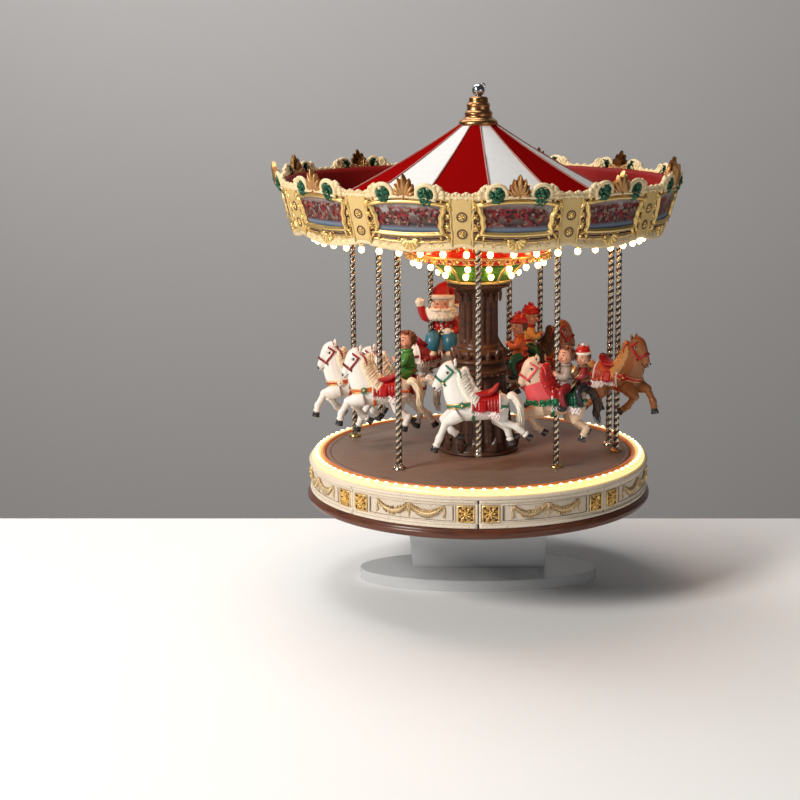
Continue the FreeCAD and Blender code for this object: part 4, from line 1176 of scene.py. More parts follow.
def crest(fans, scrolls):
    """The fan over a panel, on its own scrolls, with pale shells at either side."""
    for turn, length, width in ((0, 15.2, 4.2), (17, 12.6, 4.0), (35, 9.8, 3.6), (56, 7.4, 3.0)):
        for side in (-1, 1) if turn else (1,):
            root, lean = (side * turn * 0.025, 33.2), side * turn
            leaf(fans, root, 90 - lean, length, width, 3.4, 0, lean * 0.002)
    rosette(fans, (0, 34.0), 2.6, 0, 6, 3.6)
    arch = [Vector((x, 33.9 - 2.6 * (x / 20.0) ** 2, 2.4)) for x in range(-20, 21, 2)]
    scrolls.add(tube(arch, 1.15, 7))
    for side in (-1, 1):
        ring = [off((13.8, 35.6), math.radians(a), 6.0, 1.8) for a in range(-30, 215, 14)]
        scrolls.add(tube([Vector((side * p.x, p.y, p.z)) for p in ring], 1.5, 8))
        curl(fans, (side * 4.4, 33.8), 90, 1.3, 2.4, side, 1.1)
        curl(fans, (side * 7.2, 35.0), 200 if side > 0 else -20, 1.3, 2.6, -side, 1.2)
        fan(scrolls, (side * 18.6, 33.0), 90 - side * 16, 8.4, 6, 140, 2.0)
        curl(scrolls, (side * 19.4, 37.6), 90, 1.4, 3.2, -side, 1.25)
        curl(scrolls, (side * 23.6, 33.2), 90, 1.3, 2.6, -side, 1.1)
        leaf(scrolls, (side * 25.0, 32.4), 90 - side * 82, 6.0, 1.7, 2.0)


def bouquet(build, centre, rng):
    """A tight glittering bunch of leaves and buds."""
    for _ in range(44):
        a, r = rng.uniform(0, 2 * math.pi), 4.6 * math.sqrt(rng.random())
        size = rng.uniform(1.1, 1.7)
        x, y = centre[0] + r * math.cos(a), centre[1] - 1.0 + r * 1.4 * math.sin(a)
        build.add(ball((x, y, 3.8 - r * r * 0.12), (size, size, size * 0.9), 5, 7))
    for i in range(10):
        leaf(build, centre, 36 * i + rng.uniform(-12, 12), rng.uniform(5.0, 6.2), 1.6, 2.6)


def strap(plates, studs):
    """The plain strap over a joint, with two studs."""
    slab(plates, [(-6.6, -0.4), (6.6, -0.4), (7.4, 34.6), (-7.4, 34.6)], 1.5, 0, 16)
    for side in (-1, 1):
        edge = []
        for t in range(11):
            out = 6.5 + 0.08 * t + 0.35 * math.sin(t * 1.9)
            edge.append(Vector((side * out, 0.5 + 3.35 * t, 1.4)))
        plates.add(tube(edge, 0.75, 7))
        # A brown line inside each raised edge: painted shade.
        plates.add(tube([p - Vector((side * 1.1, 0, 0.25)) for p in edge], 0.4, 6), 1)
    for y in (9.0, 20.4):
        rosette(studs, (0, y), 2.5, 1, 8, 1.9)
        rim = [off((0, y), a, 3.0, 1.6) for a in whole_turn(16)]
        studs.add(tube(rim, 0.45, 6, closed=True), 1)
        rosette(studs, (0, y), 2.3, 0, 5, 2.6)


def rim_shells(build):
    """The small shells along the rim between two crests."""
    for x in (-9.0, -3.1, 3.1, 9.0):
        fan(build, (x, 32.4), 90, 4.4, 5, 140, 1.6)
        bead(build, (x, 32.6), 1.5)


def make_cornice(m):
    make_cornice_band(m)
    pictures, frame, lines, fans, scrolls, plates, studs, shells = [Build() for _ in range(8)]
    framed_picture(pictures, frame)
    lower_trim(lines, frame)
    crest(fans, scrolls)
    strap(plates, studs)
    rim_shells(shells)
    rng = random.Random(11)
    greens = Build()
    for side in (-1, 1):
        bouquet(greens, (side * 13.6, 35.6), rng)
    for name, flat, offset, material, slot, node in (
        ("crowd_pictures", pictures, 0.0, "picture", "cream_paint", "cornice_panels"),
        ("picture_frames", frame, 0.0, "gilt", "gilt", "cornice_panels"),
        ("brown_lines", lines, 0.0, "brown_line_and_painted_shade", "cream_paint", "cornice_panels"),
        ("crest_fans", fans, 0.0, "brown_gilt", "gilt", "cornice_gilding"),
        ("crest_scrolls", scrolls, 0.0, "pale_shell", "gilt", "cornice_gilding"),
        ("crest_bouquets", greens, 0.0, "green_glitter", "green_paint", "cornice_gilding"),
        ("cornice_straps", plates, 0.5, "cream_gold", "gilt", "cornice_gilding"),
        ("strap_studs", studs, 0.5, "gilt", "gilt", "cornice_gilding"),
        ("rim_shells", shells, 0.5, "pale_shell", "gilt", "cornice_gilding"),
    ):
        ring = Build()
        for i in range(12):
            ring.merge(flat.copied(on_cornice(PANEL_TURN + PANEL_STEP * (i + offset))))
        ring.piece(name, [m[material], m["brown_line_and_painted_shade"]], "turntable", slot, [node])


ROOF_LINE = [
    (125.2, 202.6), (109.0, 210.4), (93.0, 219.2), (71.0, 231.0), (50.0, 243.0), (30.0, 255.2),
    (12.0, 267.0),
]
GORE_EDGE = 5.6


def make_roof(m):
    """Twelve red and white gores, each sagging a little between its seams."""
    line = [Vector((r, 0, z)) for r, z in ROOF_LINE]
    curve = smooth_path(line, 6)
    rows = len(curve)
    per_gore = 12
    for name, first, material in (("roof_red_gores", 1, "roof_red"), ("roof_white_gores", 0, "roof_white")):
        gores = Build()
        for gore in range(first, 12, 2):
            for inside in (0.0, 1.0):

                def at(u, v):
                    p = curve[round(v * (rows - 1))]
                    sag = 0.012 * math.sin(math.pi * u) * p.x * (1 - 0.5 * v)
                    angle = GORE_EDGE + PANEL_STEP * (gore + u)
                    return station(p.x - inside * 0.2, angle, p.z - sag - inside)

                points, faces = surface(per_gore + 1, rows, at)
                gores.add((points, [face[::-1] for face in faces] if inside else faces))
        gores.piece(name, m[material], "turntable", "roof_stripes", ["roof"])
    seams = Build()
    for gore in range(12):
        path = [station(p.x, GORE_EDGE + PANEL_STEP * gore, p.z + 0.25) for p in curve]
        seams.add(tube(path, [0.75 if p.x > 40 else 0.55 for p in curve], 7))
    rim = [station(125.0, 3.0 * i, 202.4) for i in range(120)]
    seams.add(tube(rim, 1.5, 8, closed=True))
    seams.piece("roof_seams", m["seam"], "turntable", "roof_stripes", ["roof"])


def make_ceiling(m):
    """The ceiling disc, with its rim and gilt ribs underneath."""
    disc = [(4.1, 196.0), (127.4, 196.0), (128.4, 197.0), (127.4, 198.0), (124.0, 198.0)]
    disc += [(124.0, 201.0), (121.0, 201.0), (121.0, 198.0), (4.1, 198.0)]
    board = Build().add(revolved(disc, 180))
    board.piece("ceiling_board", m["tier_red"], "turntable", "red_paint", ["canopy_ceiling"])
    ribs = Build()
    for i in range(12):
        angle = PANEL_TURN + PANEL_STEP * (i + 0.5)
        ribs.add(tube([station(r, angle, 195.6) for r in (52.0, 70.0, 90.0, 108.0, 126.0)], 0.9, 8))
    for radius in (104.0, 120.0):
        ribs.add(tube([station(radius, 4.0 * i, 195.6) for i in range(90)], 1.0, 8, closed=True))
    ribs.piece("ceiling_ribs", m["gilt"], "turntable", "gilt", ["canopy_ceiling"])


def make_finial(m):
    low = bottom_of("finial") + 3.0
    steps = [(1.2, -2.0), (12.4, -2.4), (13.6, -0.6), (13.8, 1.2), (12.8, 2.8), (11.0, 3.6)]
    steps += [(9.6, 5.0), (9.6, 6.4), (10.0, 7.2), (9.2, 8.6), (8.2, 9.4), (8.0, 12.2)]
    steps += [(8.4, 13.0), (7.6, 14.2), (6.8, 15.0), (6.6, 17.8), (5.6, 18.9), (1.2, 18.9)]
    outline = rounded([(r, low + z) for r, z in steps], 0.7)

    def cast(a, r, z):
        return r * (1 + 0.012 * math.sin(3 * a + z * 0.6)) if r > 2 else r

    copper = Build().add(revolved(outline, 96, cast))
    copper.piece("finial_cap", m["copper"], "turntable", "copper", ["finial"])
    centre = Vector((0, 0, top_of("finial_ball") - 4.5))
    chrome = Build().add(ball(centre, 4.5, 24, 36))
    seat = [(1.0, -5.6), (2.9, -5.6), (3.1, -4.9), (2.4, -4.0), (1.0, -3.8)]
    chrome.add(revolved([(r, centre.z + z) for r, z in seat], 32))
    loop = [centre + Vector((3.1 + 1.5 * math.cos(a), 0, 3.1 + 1.5 * math.sin(a))) for a in whole_turn(20)]
    chrome.add(tube(loop, 0.42, 8, up=Vector((0, 1, 0)), closed=True))
    chrome.piece("silver_ball", m["chrome"], "turntable", "silver", ["finial_ball"])


# Poles --------------------------------------------------------------------------------------------


GROOVE = 0.58
ROPE_PITCH = 9.5


def rope(build, x, y, low, high, radius=2.15):
    """A rod twisted from two round strands, with kind 1, a painted shade, in its grooves."""
    rows = round((high - low) / 0.7)

    def at(u, v):
        z = mix(low, high, v)
        a = 2 * math.pi * u
        lobe = abs(math.cos(a - 2 * math.pi * z / ROPE_PITCH))
        r = radius * (0.70 + 0.30 * lobe ** 0.7)
        return (x + r * math.cos(a), y + r * math.sin(a), z)

    def lobe_at(face):
        p = sum((points[i] for i in face), Vector()) / len(face)
        return abs(math.cos(math.atan2(p.y - y, p.x - x) - 2 * math.pi * p.z / ROPE_PITCH))

    points, faces = surface(32, rows, at, wrap_u=True)
    # Faces in the grooves get the painted shade.
    kinds = [1 if lobe_at(face) < GROOVE else 0 for face in faces]
    build.add((points, faces))
    build.kinds[-len(faces):] = kinds


def lathe_at(x, y, z, outline, steps=28):
    """A turned piece on a vertical axis, with the heights of its outline measured from z."""
    points, faces = revolved([(r, z + rise) for r, rise in outline], steps)
    return [p + Vector((x, y, 0)) for p in points], faces


def pole_foot(build, x, y, floor):
    """A small leafed collar where a pole meets the floor."""
    collar = [(0.3, 0.0), (3.9, 0.0), (4.0, 0.8), (3.0, 1.5), (2.9, 2.6), (0.3, 2.6)]
    build.add(lathe_at(x, y, floor, collar))
    for i in range(4):
        a = math.pi / 2 * i + 0.4
        out = Vector((math.cos(a), math.sin(a), 0))
        path = [Vector((x, y, floor + z)) + out * r for r, z in ((1.6, 4.2), (3.0, 2.0), (4.6, 0.7))]
        build.add(tube(path, [0.5, 0.9, 0.6], 7))


def pole_cap(build, x, y, ceiling):
    cap = [(0.3, 0.0), (3.0, -3.0), (3.6, -1.6), (3.9, 0.0), (0.3, 0.1)]
    build.add(lathe_at(x, y, ceiling, cap))


SUPPORT_PLACES = [(-55.0, -62.0), (95.6, 10.4), (5.0, 98.0)]
THROUGH_HORSES = (3, 5, 6)


def make_poles(m):
    floor, ceiling = top_of("floor_disc"), bottom_of("canopy_ceiling")
    fixed = Build()
    for x, y in SUPPORT_PLACES:
        rope(fixed, x, y, floor, ceiling, 2.3)
        pole_foot(fixed, x, y, floor)
        pole_cap(fixed, x, y, ceiling)
    fixed.piece("fixed_poles", [m["rope"], m["groove"]], "turntable", "twist_brass", ["support_poles"])
    bushes = Build()
    upper = [(2.45, -2.0), (3.6, -2.0), (4.2, 0.0), (3.0, 2.0), (2.45, 2.0)]
    lower = [(2.45, -2.4), (3.0, -2.4), (3.0, 0.0), (4.3, 0.0), (4.2, 1.0), (3.2, 2.2), (2.45, 2.2)]
    for number, spec in enumerate(HORSES, 1):
        x, y = spec[0], spec[1]
        bushes.add(lathe_at(x, y, ceiling, upper))
        if number in THROUGH_HORSES:
            bushes.add(lathe_at(x, y, floor, lower))
    bushes.piece("pole_guides", m["brass"], "turntable", "brass", ["pole_bushes"])
    for number, spec in enumerate(HORSES, 1):
        make_horse_pole(m, number, spec)


def make_horse_pole(m, number, spec):
    """The twisted pole of one horse and the arm that lifts it."""
    node, body = "pole_%d" % number, "ride_%d" % number
    x, y = spec[0], spec[1]
    away = math.hypot(x, y)
    inward = Vector((-x / away, -y / away, 0))
    low, ceiling, top = bottom_of(node), bottom_of("canopy_ceiling"), top_of(node)
    rod = Build()
    start = low + 3.0 if spec[5] == "tip" else low
    rope(rod, x, y, start, ceiling - 2.5)
    if spec[5] == "tip":
        rod.add(ball((x, y, low + 2.7), 2.7, 10, 16))
        rod.add(lathe_at(x, y, low, [(0.2, 4.0), (2.0, 4.6), (2.6, 6.0), (0.2, 6.6)], 20))
    plain_end = [(0.2, ceiling - 3.0), (2.2, ceiling - 3.0), (2.2, 207.4), (0.2, 207.4)]
    rod.add(lathe_at(x, y, 0.0, plain_end, 20))
    rod.piece("twisted_" + node, [m["rope"], m["groove"]], body, "twist_brass", [node])
    arm = Build()
    reach, tip = away - 53.5, away - 41.0
    base = Vector((x, y, 205.5))
    arm.add(tube([base, base + inward * reach], 1.5, 4))
    corner = base + inward * reach
    finger = [corner, corner + Vector((0, 0, top - 207.0))]
    arm.add(tube(finger, 1.6, 4, up=Vector((1, 0, 0))))
    high = Vector((x, y, top - 1.5))
    arm.add(tube([high + inward * (reach - 1.0), high + inward * tip], 1.5, 4))
    arm.add(ball((x, y, 206.6), (2.9, 2.9, 1.6), 7, 14))
    arm.piece("lifting_arm_%d" % number, m["steel"], body, "steel", [node])


# Horses -------------------------------------------------------------------------------------------
# Each is made at its own origin, facing +X, with its pole on the Z axis, then set in place.

# x, y, height of the body's centre, heading, attitude, foot of the pole
HORSES = [
    (0.0, -75.0, 79.5, 180, "stretching", "tip"),
    (-70.4, -15.0, 77.5, 180, "rearing", "short"),
    (-92.7, 37.5, 73.0, 188, "rearing", "through"),
    (-59.0, 15.0, 73.5, 180, "leaping", "short"),
    (54.0, -57.0, 79.0, 188, "rearing", "through"),
    (99.6, -8.7, 86.5, -38, "rearing", "through"),
    (47.0, 76.0, 83.0, -4, "rearing", "short"),
    (-36.0, 61.0, 90.0, 32, "leaping", "short"),
    (23.0, 52.0, 80.0, 180, "leaping", "short"),
]

# Shoulder or hip, knee or hock, fetlock and hoof of each leg
LEGS = {
    "leaping": [
        [(13, 4.6, -3), (21, 5.0, -9), (26.5, 5.2, -20), (29, 5.2, -26)],
        [(13, -4.6, -3), (23.5, -5.0, -9), (18.5, -5.2, -17), (14.5, -5.2, -20)],
        [(-13, 4.6, -1), (-14, 5.6, -11), (-22, 5.6, -17), (-26, 5.4, -23)],
        [(-13, -4.6, -1), (-9, -5.6, -10), (-16.5, -5.6, -18), (-14, -5.4, -26)],
    ],
    "stretching": [
        [(13, 4.6, -3), (22, 5.0, -9), (26.5, 5.2, -20), (29, 5.2, -26)],
        [(13, -4.6, -3), (23.5, -5.0, -9), (18.5, -5.2, -17), (14.5, -5.2, -20)],
        [(-13, 4.6, -1), (-17, 5.6, -9), (-26, 5.6, -12), (-33, 5.4, -18)],
        [(-13, -4.6, -1), (-12, -5.6, -10), (-20, -5.6, -16), (-22, -5.4, -24)],
    ],
    "rearing": [
        [(11, 4.6, -3), (22.5, 5.0, -5.5), (27.5, 5.2, -14), (28.6, 5.2, -19)],
        [(11, -4.6, -3), (18.5, -5.0, -10), (13, -5.2, -17.5), (9, -5.2, -20.5)],
        [(-13, 4.6, -1), (-12.5, 5.6, -11.5), (-20, 5.6, -17), (-18, 5.4, -23)],
        [(-13, -4.6, -1), (-9, -5.6, -11), (-16, -5.6, -16.5), (-21.5, -5.4, -20.5)],
    ],
}
# Crest of the neck from the withers to the poll, and the head from the poll to the muzzle
NECK = {
    "stretching": [(8.5, 0, 2.5), (13.0, 0, 9.4), (15.8, 0, 18.4), (16.8, 0, 26.4)],
    "leaping": [(8.5, 0, 2.5), (13.4, 0, 9.4), (16.8, 0, 18.4), (18.2, 0, 26.4)],
    "rearing": [(7.5, 0, 2.5), (12.0, 0, 10.0), (14.6, 0, 19.5), (14.8, 0, 27.5)],
}
HEAD = {
    "stretching": [(16.0, 0, 28.6), (20.9, 0, 26.0), (25.8, 0, 19.6), (29.0, 0, 13.4)],
    "leaping": [(17.4, 0, 28.6), (22.3, 0, 26.0), (27.2, 0, 19.6), (30.4, 0, 13.4)],
    "rearing": [(13.8, 0, 29.0), (18.0, 0, 26.6), (21.9, 0, 20.4), (24.6, 0, 14.0)],
}


def bent_sections(path, sizes):
    """A closed loft of ellipses (half width, half depth) across a path in the XZ plane."""
    count, sides = len(path), 16
    points = []
    for i, p in enumerate(path):
        along = (path[min(i + 1, count - 1)] - path[max(i - 1, 0)]).normalized()
        over = Vector((-along.z, 0, along.x))
        wide, deep = sizes[i]
        for k in range(sides):
            a = 2 * math.pi * k / sides
            points.append(p + Vector((0, 1, 0)) * (wide * math.cos(a)) + over * (deep * math.sin(a)))
    faces = []
    for i in range(count - 1):
        for k in range(sides):
            a, b = i * sides + k, i * sides + (k + 1) % sides
            faces.append((a, b, b + sides, a + sides))
    faces.append(tuple(range(sides))[::-1])
    faces.append(tuple((count - 1) * sides + k for k in range(sides)))
    return points, faces


def loft(controls, sizes):
    """A smooth loft through control points with their sizes."""
    line = smooth_path(through(*controls), 5)
    table = smooth_path([Vector((w, d, 0)) for w, d in sizes], 5)
    return bent_sections(line, [(max(0.3, s.x), max(0.3, s.y)) for s in table])


def head_frame(attitude):
    """The poll, the direction down the face and the direction out of the forehead."""
    poll, muzzle = Vector(HEAD[attitude][0]), Vector(HEAD[attitude][-1])
    down = (muzzle - poll).normalized()
    front = Vector((-down.z, 0, down.x))
    return poll, down, front


HEAD_SCALE = 1.14


def head_point(attitude, along, out, side=0.0):
    """A place on the head: down the face, out of the forehead and to the side."""
    poll, down, front = head_frame(attitude)
    return poll + (down * along + front * out + Vector((0, side, 0))) * HEAD_SCALE


def body_parts(attitude):
    """The masses of a galloping horse, ready to be fused."""
    parts = Build()
    barrel = [(-19.5, 1.5), (-16.0, 1.8), (-10, 1.2), (-2, 0.2), (6, 0.6), (12.5, 1.4), (16.6, 1.0)]
    girth = [(4.8, 5.2), (7.8, 8.8), (8.1, 9.0), (7.8, 8.8), (8.1, 9.8), (7.6, 9.8), (5.0, 6.4)]
    parts.add(loft([(x, 0, z) for x, z in barrel], girth))
    parts.add(loft(NECK[attitude], [(7.8, 11.6), (6.9, 10.6), (5.8, 8.8), (4.6, 6.4)]))
    parts.add(loft(HEAD[attitude], [(4.0, 4.7), (4.4, 5.5), (3.1, 3.9), (2.4, 2.9)]))
    for place, size in (
        ((4.6, -0.3), (3.2, 3.0, 3.9)),
        ((8.6, -1.6), (2.7, 2.6, 2.9)),
        ((15.2, -0.1), (2.8, 2.5, 2.6)),
        ((16.8, -1.1), (2.2, 2.1, 2.2)),
    ):
        parts.add(ball(head_point(attitude, *place), size, 8, 12))
    for side in (-1, 1):
        parts.add(ball(head_point(attitude, 5.6, -1.6, side * 2.3), (3.1, 1.9, 3.3), 8, 12))
        parts.add(ball(head_point(attitude, 4.4, 1.6, side * 2.5), (1.5, 1.2, 1.2), 7, 10))
        parts.add(ball(head_point(attitude, 15.4, 0.3, side * 1.5), (1.4, 1.0, 1.2), 7, 10))
        parts.add(ball((-14.5, side * 3.8, -0.2), (6.4, 4.2, 7.6), 8, 14))
        parts.add(ball((11.5, side * 3.8, -0.5), (5.0, 3.4, 7.2), 8, 14))
        parts.add(ball((16.0, side * 2.6, -0.6), (2.9, 2.7, 4.0), 8, 12))
    parts.add(ball((-16.5, 0, 5.6), (5.0, 4.4, 4.0), 8, 14))
    fore = [6.0, 5.2, 3.8, 3.3, 2.6, 2.3, 2.8, 2.3]
    hind = [7.2, 6.0, 4.2, 3.4, 2.8, 2.4, 2.8, 2.3]
    for number, leg in enumerate(LEGS[attitude]):
        a, b, c, d = through(*leg)
        path = [a, a.lerp(b, 0.5), a.lerp(b, 0.88), b, b.lerp(c, 0.25), b.lerp(c, 0.72), c, c.lerp(d, 0.7)]
        parts.add(tube(path, fore if number < 2 else hind, 12))
        parts.add(ball(a.lerp(b, 0.15), (4.6, 3.0, 4.8) if number < 2 else (5.6, 3.8, 6.0), 8, 12))
        parts.add(ball(b, 3.4, 7, 10))
        parts.add(ball(c, 2.9, 7, 10))
    return parts


SKIN_VOXEL = 0.5
SKIN_SMOOTHING = 5


def fused(parts, name):
    """One smooth skin round overlapping parts, as a plain mesh in millimetres."""
    mesh = bpy.data.meshes.new(name)
    mesh.from_pydata([tuple(p) for p in parts.points], [], parts.faces)
    holder = bpy.data.objects.new(name, mesh)
    bpy.context.scene.collection.objects.link(holder)
    remesh = holder.modifiers.new("skin", "REMESH")
    remesh.mode = "VOXEL"
    remesh.voxel_size = SKIN_VOXEL
    soften = holder.modifiers.new("soften", "SMOOTH")
    soften.factor = 0.5
    soften.iterations = SKIN_SMOOTHING
    view = bpy.context.evaluated_depsgraph_get()
    baked = holder.evaluated_get(view).to_mesh()
    points = [v.co.copy() for v in baked.vertices]
    faces = [tuple(p.vertices) for p in baked.polygons]
    holder.evaluated_get(view).to_mesh_clear()
    bpy.data.objects.remove(holder)
    bpy.data.meshes.remove(mesh)
    return points, faces


class Skin:
    """Finds the outer surface of a body, so that tack can be laid on it."""

    def __init__(self, part):
        self.tree = BVHTree.FromPolygons([tuple(p) for p in part[0]], part[1])

    def from_outside(self, centre, direction, lift=0.4, reach=40.0):
        direction = direction.normalized()
        hit, normal, _, _ = self.tree.ray_cast(centre + direction * reach, -direction)
        if hit is None:
            return centre + direction * 3.0, direction
        return hit + normal * lift, normal


def strap_band(points, normals, width, thick, closed=False):
    """A flat strap along surface points, as wide as it is told across the path."""
    count = len(points)
    ring = []
    for i in range(count):
        ahead = points[(i + 1) % count] if closed or i < count - 1 else points[i]
        behind = points[i - 1] if closed or i > 0 else points[i]
        along = (ahead - behind).normalized()
        across = normals[i].cross(along).normalized()
        for a, b in ((-0.5, -0.4), (0.5, -0.4), (0.5, 0.6), (0.25, 1.0), (-0.25, 1.0), (-0.5, 0.6)):
            ring.append(points[i] + across * (a * width) + normals[i] * (b * thick))
    faces = []
    for i in range(count if closed else count - 1):
        for k in range(6):
            a, b = i * 6 + k, i * 6 + (k + 1) % 6
            c, d = ((i + 1) % count) * 6 + (k + 1) % 6, ((i + 1) % count) * 6 + k
            faces.append((a, b, c, d))
    if not closed:
        faces.append(tuple(range(6))[::-1])
        faces.append(tuple((count - 1) * 6 + k for k in range(6)))
    return ring, faces


def ring_strap(skin, centre, across, over, width, thick, spread=(0, 360), steps=36, reach=40.0):
    """A strap round the body in the plane of two directions."""
    closed = spread[1] - spread[0] >= 360
    points, normals = [], []
    for i in range(steps if closed else steps + 1):
        a = math.radians(mix(spread[0], spread[1], i / steps))
        p, n = skin.from_outside(centre, across * math.cos(a) + over * math.sin(a), 0.25, reach)
        points.append(p)
        normals.append(n)
    return strap_band(points, normals, width, thick, closed)


# The kinds of surface on a dressed horse
COAT, MANE, TAIL, HOOF, EYE, DARK, BRIDLE, BREAST, SADDLE, BLANKET, LACE, TRIM, ROSE = range(13)


def attach(build, flat, point, normal, up, kind):
    """Sets a flat ornament on a surface point."""
    side = up.cross(normal).normalized()
    top = normal.cross(side)
    build.merge(flat.copied(lambda p: point + side * p.x + top * p.y + normal * p.z))
    if kind is not None:
        count = len(flat.faces)
        build.kinds[-count:] = [kind] * count


def hair_lock(build, path, thick, kind=MANE, sides=7):
    """A lock that is fullest before its middle and runs out to a point."""
    curve = smooth_path(path, 4)
    radii = []
    for t in taper(0.0, 1.0, len(curve)):
        full = 0.55 + 0.45 * math.sin(math.pi * min(1.0, 0.2 + t)) if t < 0.5 else 1.875 - 1.75 * t
        radii.append(max(0.16, thick * full))
    build.add(tube(curve, radii, sides, 0.7), kind)


def add_mane(build, attitude, rng):
    """Wavy locks over both sides of the crest and along its top, and a forelock."""
    neck = smooth_path(through(*NECK[attitude]), 8)
    depth = [11.8, 10.9, 9.2, 7.0]
    count = 25
    for i in range(count):
        t = i / (count - 1)
        place = t * (len(neck) - 1)
        p = neck[int(place)].lerp(neck[min(int(place) + 1, len(neck) - 1)], place % 1)
        ahead = neck[min(int(place) + 1, len(neck) - 1)] - neck[max(int(place) - 1, 0)]
        along = ahead.normalized()
        over = Vector((-along.z, 0, along.x))
        d = read_along(depth, t)
        wide = mix(7.0, 4.5, t)
        crest = p + over * (d * 0.88)
        for side in (-1, 1):
            wave = rng.uniform(0.5, 1.1) * (1 if i % 2 else -1)
            out = Vector((0, side, 0))
            path = [crest + out * 0.4, crest + over * 1.3 + out * 2.2 - along * 0.8]
            for up, sideways, back in (
                (d * 0.66 + wave, wide * 0.86 + 0.7, 2.4),
                (d * 0.44 - wave, wide + 1.0, 4.6),
                (d * 0.52 + wave, wide + 0.9, 7.0),
                (d * 0.40 - wave, wide + 0.6, 9.4),
            ):
                path.append(p + over * up + out * sideways - along * back)
            hair_lock(build, path, rng.uniform(1.25, 1.6))
        sway = Vector((0, rng.uniform(-1.3, 1.3), 0))
        path = [crest, crest + over * 2.4 - along * 0.6 + sway, crest + over * 2.9 - along * 3.8 - sway]
        path.append(crest + over * 2.6 - along * 7.4 + sway * 1.5)
        path.append(crest + over * 2.4 - along * 10.4 - sway * 1.5)
        hair_lock(build, path, rng.uniform(1.9, 2.4))
    crest_line = []
    for i, p in enumerate(neck):
        along = (neck[min(i + 1, len(neck) - 1)] - neck[max(i - 1, 0)]).normalized()
        over = Vector((-along.z, 0, along.x))
        crest_line.append(p + over * (mix(11.6, 6.8, i / (len(neck) - 1)) * 0.80))
    sizes = list(zip(taper(5.6, 3.4, len(neck)), taper(4.6, 3.4, len(neck))))
    build.add(bent_sections(crest_line, sizes), MANE)
    for side in (-1.6, -0.5, 0.7, 1.7):
        path = [head_point(attitude, -1.6, 0.4, side * 0.5), head_point(attitude, 0.2, 3.4, side)]
        path += [head_point(attitude, 3.4, 4.4, side * 1.4), head_point(attitude, 6.4, 3.6, side * 1.1)]
        hair_lock(build, path, 1.0)


def add_tail(build, rng, reach):
    """Wavy locks that spring from the dock and fall behind. A reach under 1 pulls them in."""
    for i in range(22):
        a = 2 * math.pi * i / 11
        spread = 1.0 if i < 11 else 0.55
        y, z = 2.3 * spread * math.cos(a), 2.0 * spread * math.sin(a)
        w = rng.uniform(0.5, 1.2) * (1 if i % 2 else -1)
        path = [
            (0.0, y * 0.5, 6.0 + z * 0.4),
            (-4.0, y * 0.9, 8.4 + z),
            (-7.9 - z * 0.6, y * 1.3 + w, 4.6 + z),
            (-10.1 - z, y * 1.6 - w, -2.0 + w),
            (-9.7 - z * 1.1, y * 1.7 + w, -8.4),
            (-11.3 - z, y * 1.3 - w, -13.6 + 2 * w),
        ]
        path = [Vector((-18.5 + back * reach, across, height)) for back, across, height in path]
        hair_lock(build, path, rng.uniform(1.15, 1.5), TAIL)


def add_face(build, attitude):
    """Ears, eyes, nostrils and mouth."""
    for side in (-1, 1):
        root = head_point(attitude, -0.4, 0.6, side * 2.0)
        up = Vector((-0.15, side * 0.28, 1)).normalized()
        ear = [root + up * rise for rise in (-1.0, 1.0, 2.8, 4.6)]
        build.add(tube(ear, [1.2, 1.5, 1.15, 0.25], 10, 0.62, up=Vector((0, 1, 0))), COAT)
        inner = root + Vector((0.8, side * 0.2, 0))
        build.add(tube([inner + up * rise for rise in (0.4, 2.0, 3.6)], [0.5, 0.6, 0.15], 7), DARK)
        eye = head_point(attitude, 5.2, 1.1, side * 3.7)
        build.add(ball(eye, (1.3, 0.7, 1.1), 8, 12), EYE)
        build.add(ball(eye + Vector((0.1, side * 0.32, -0.05)), (0.85, 0.5, 0.85), 8, 12), DARK)
        lid = away_from(
            eye, (-1.3, side * 0.1, -0.2), (-0.4, side * 0.4, 0.85), (0.8, side * 0.35, 0.7),
            (1.4, side * 0.1, 0.0),
        )
        build.add(tube(smooth_path(lid, 3), 0.24, 6), DARK)
        build.add(ball(head_point(attitude, 17.6, 0.9, side * 2.05), (0.7, 0.45, 0.9), 6, 8), DARK)
        mouth = [
            head_point(attitude, along, out, side * wide)
            for along, out, wide in ((14.4, -1.9, 2.4), (16.4, -1.4, 2.35), (18.6, -1.0, 1.4))
        ]
        build.add(tube(smooth_path(mouth, 3), 0.26, 6), DARK)


def add_hooves(build, attitude):
    for leg in LEGS[attitude]:
        fetlock, end = through(*leg[2:])
        along = (end - fetlock).normalized()
        build.add(tube([end + along * d for d in (-2.4, -1.0, 0.0)], [2.1, 2.75, 2.2], 12), COAT)
        hoof = [end + along * d for d in (-0.6, 0.4, 3.3, 3.8)]
        build.add(tube(hoof, [2.1, 2.3, 3.0, 2.7], 14), HOOF)


# A loop of rein from the bit, under the cheek and up behind the ear: down the face, out and sideways
REIN = [
    (11.8, -1.6, 3.3), (10.6, -5.0, 3.4), (7.2, -7.6, 4.2),
    (3.2, -7.6, 4.9), (0.4, -4.4, 4.7), (-0.4, -1.2, 3.4),
]


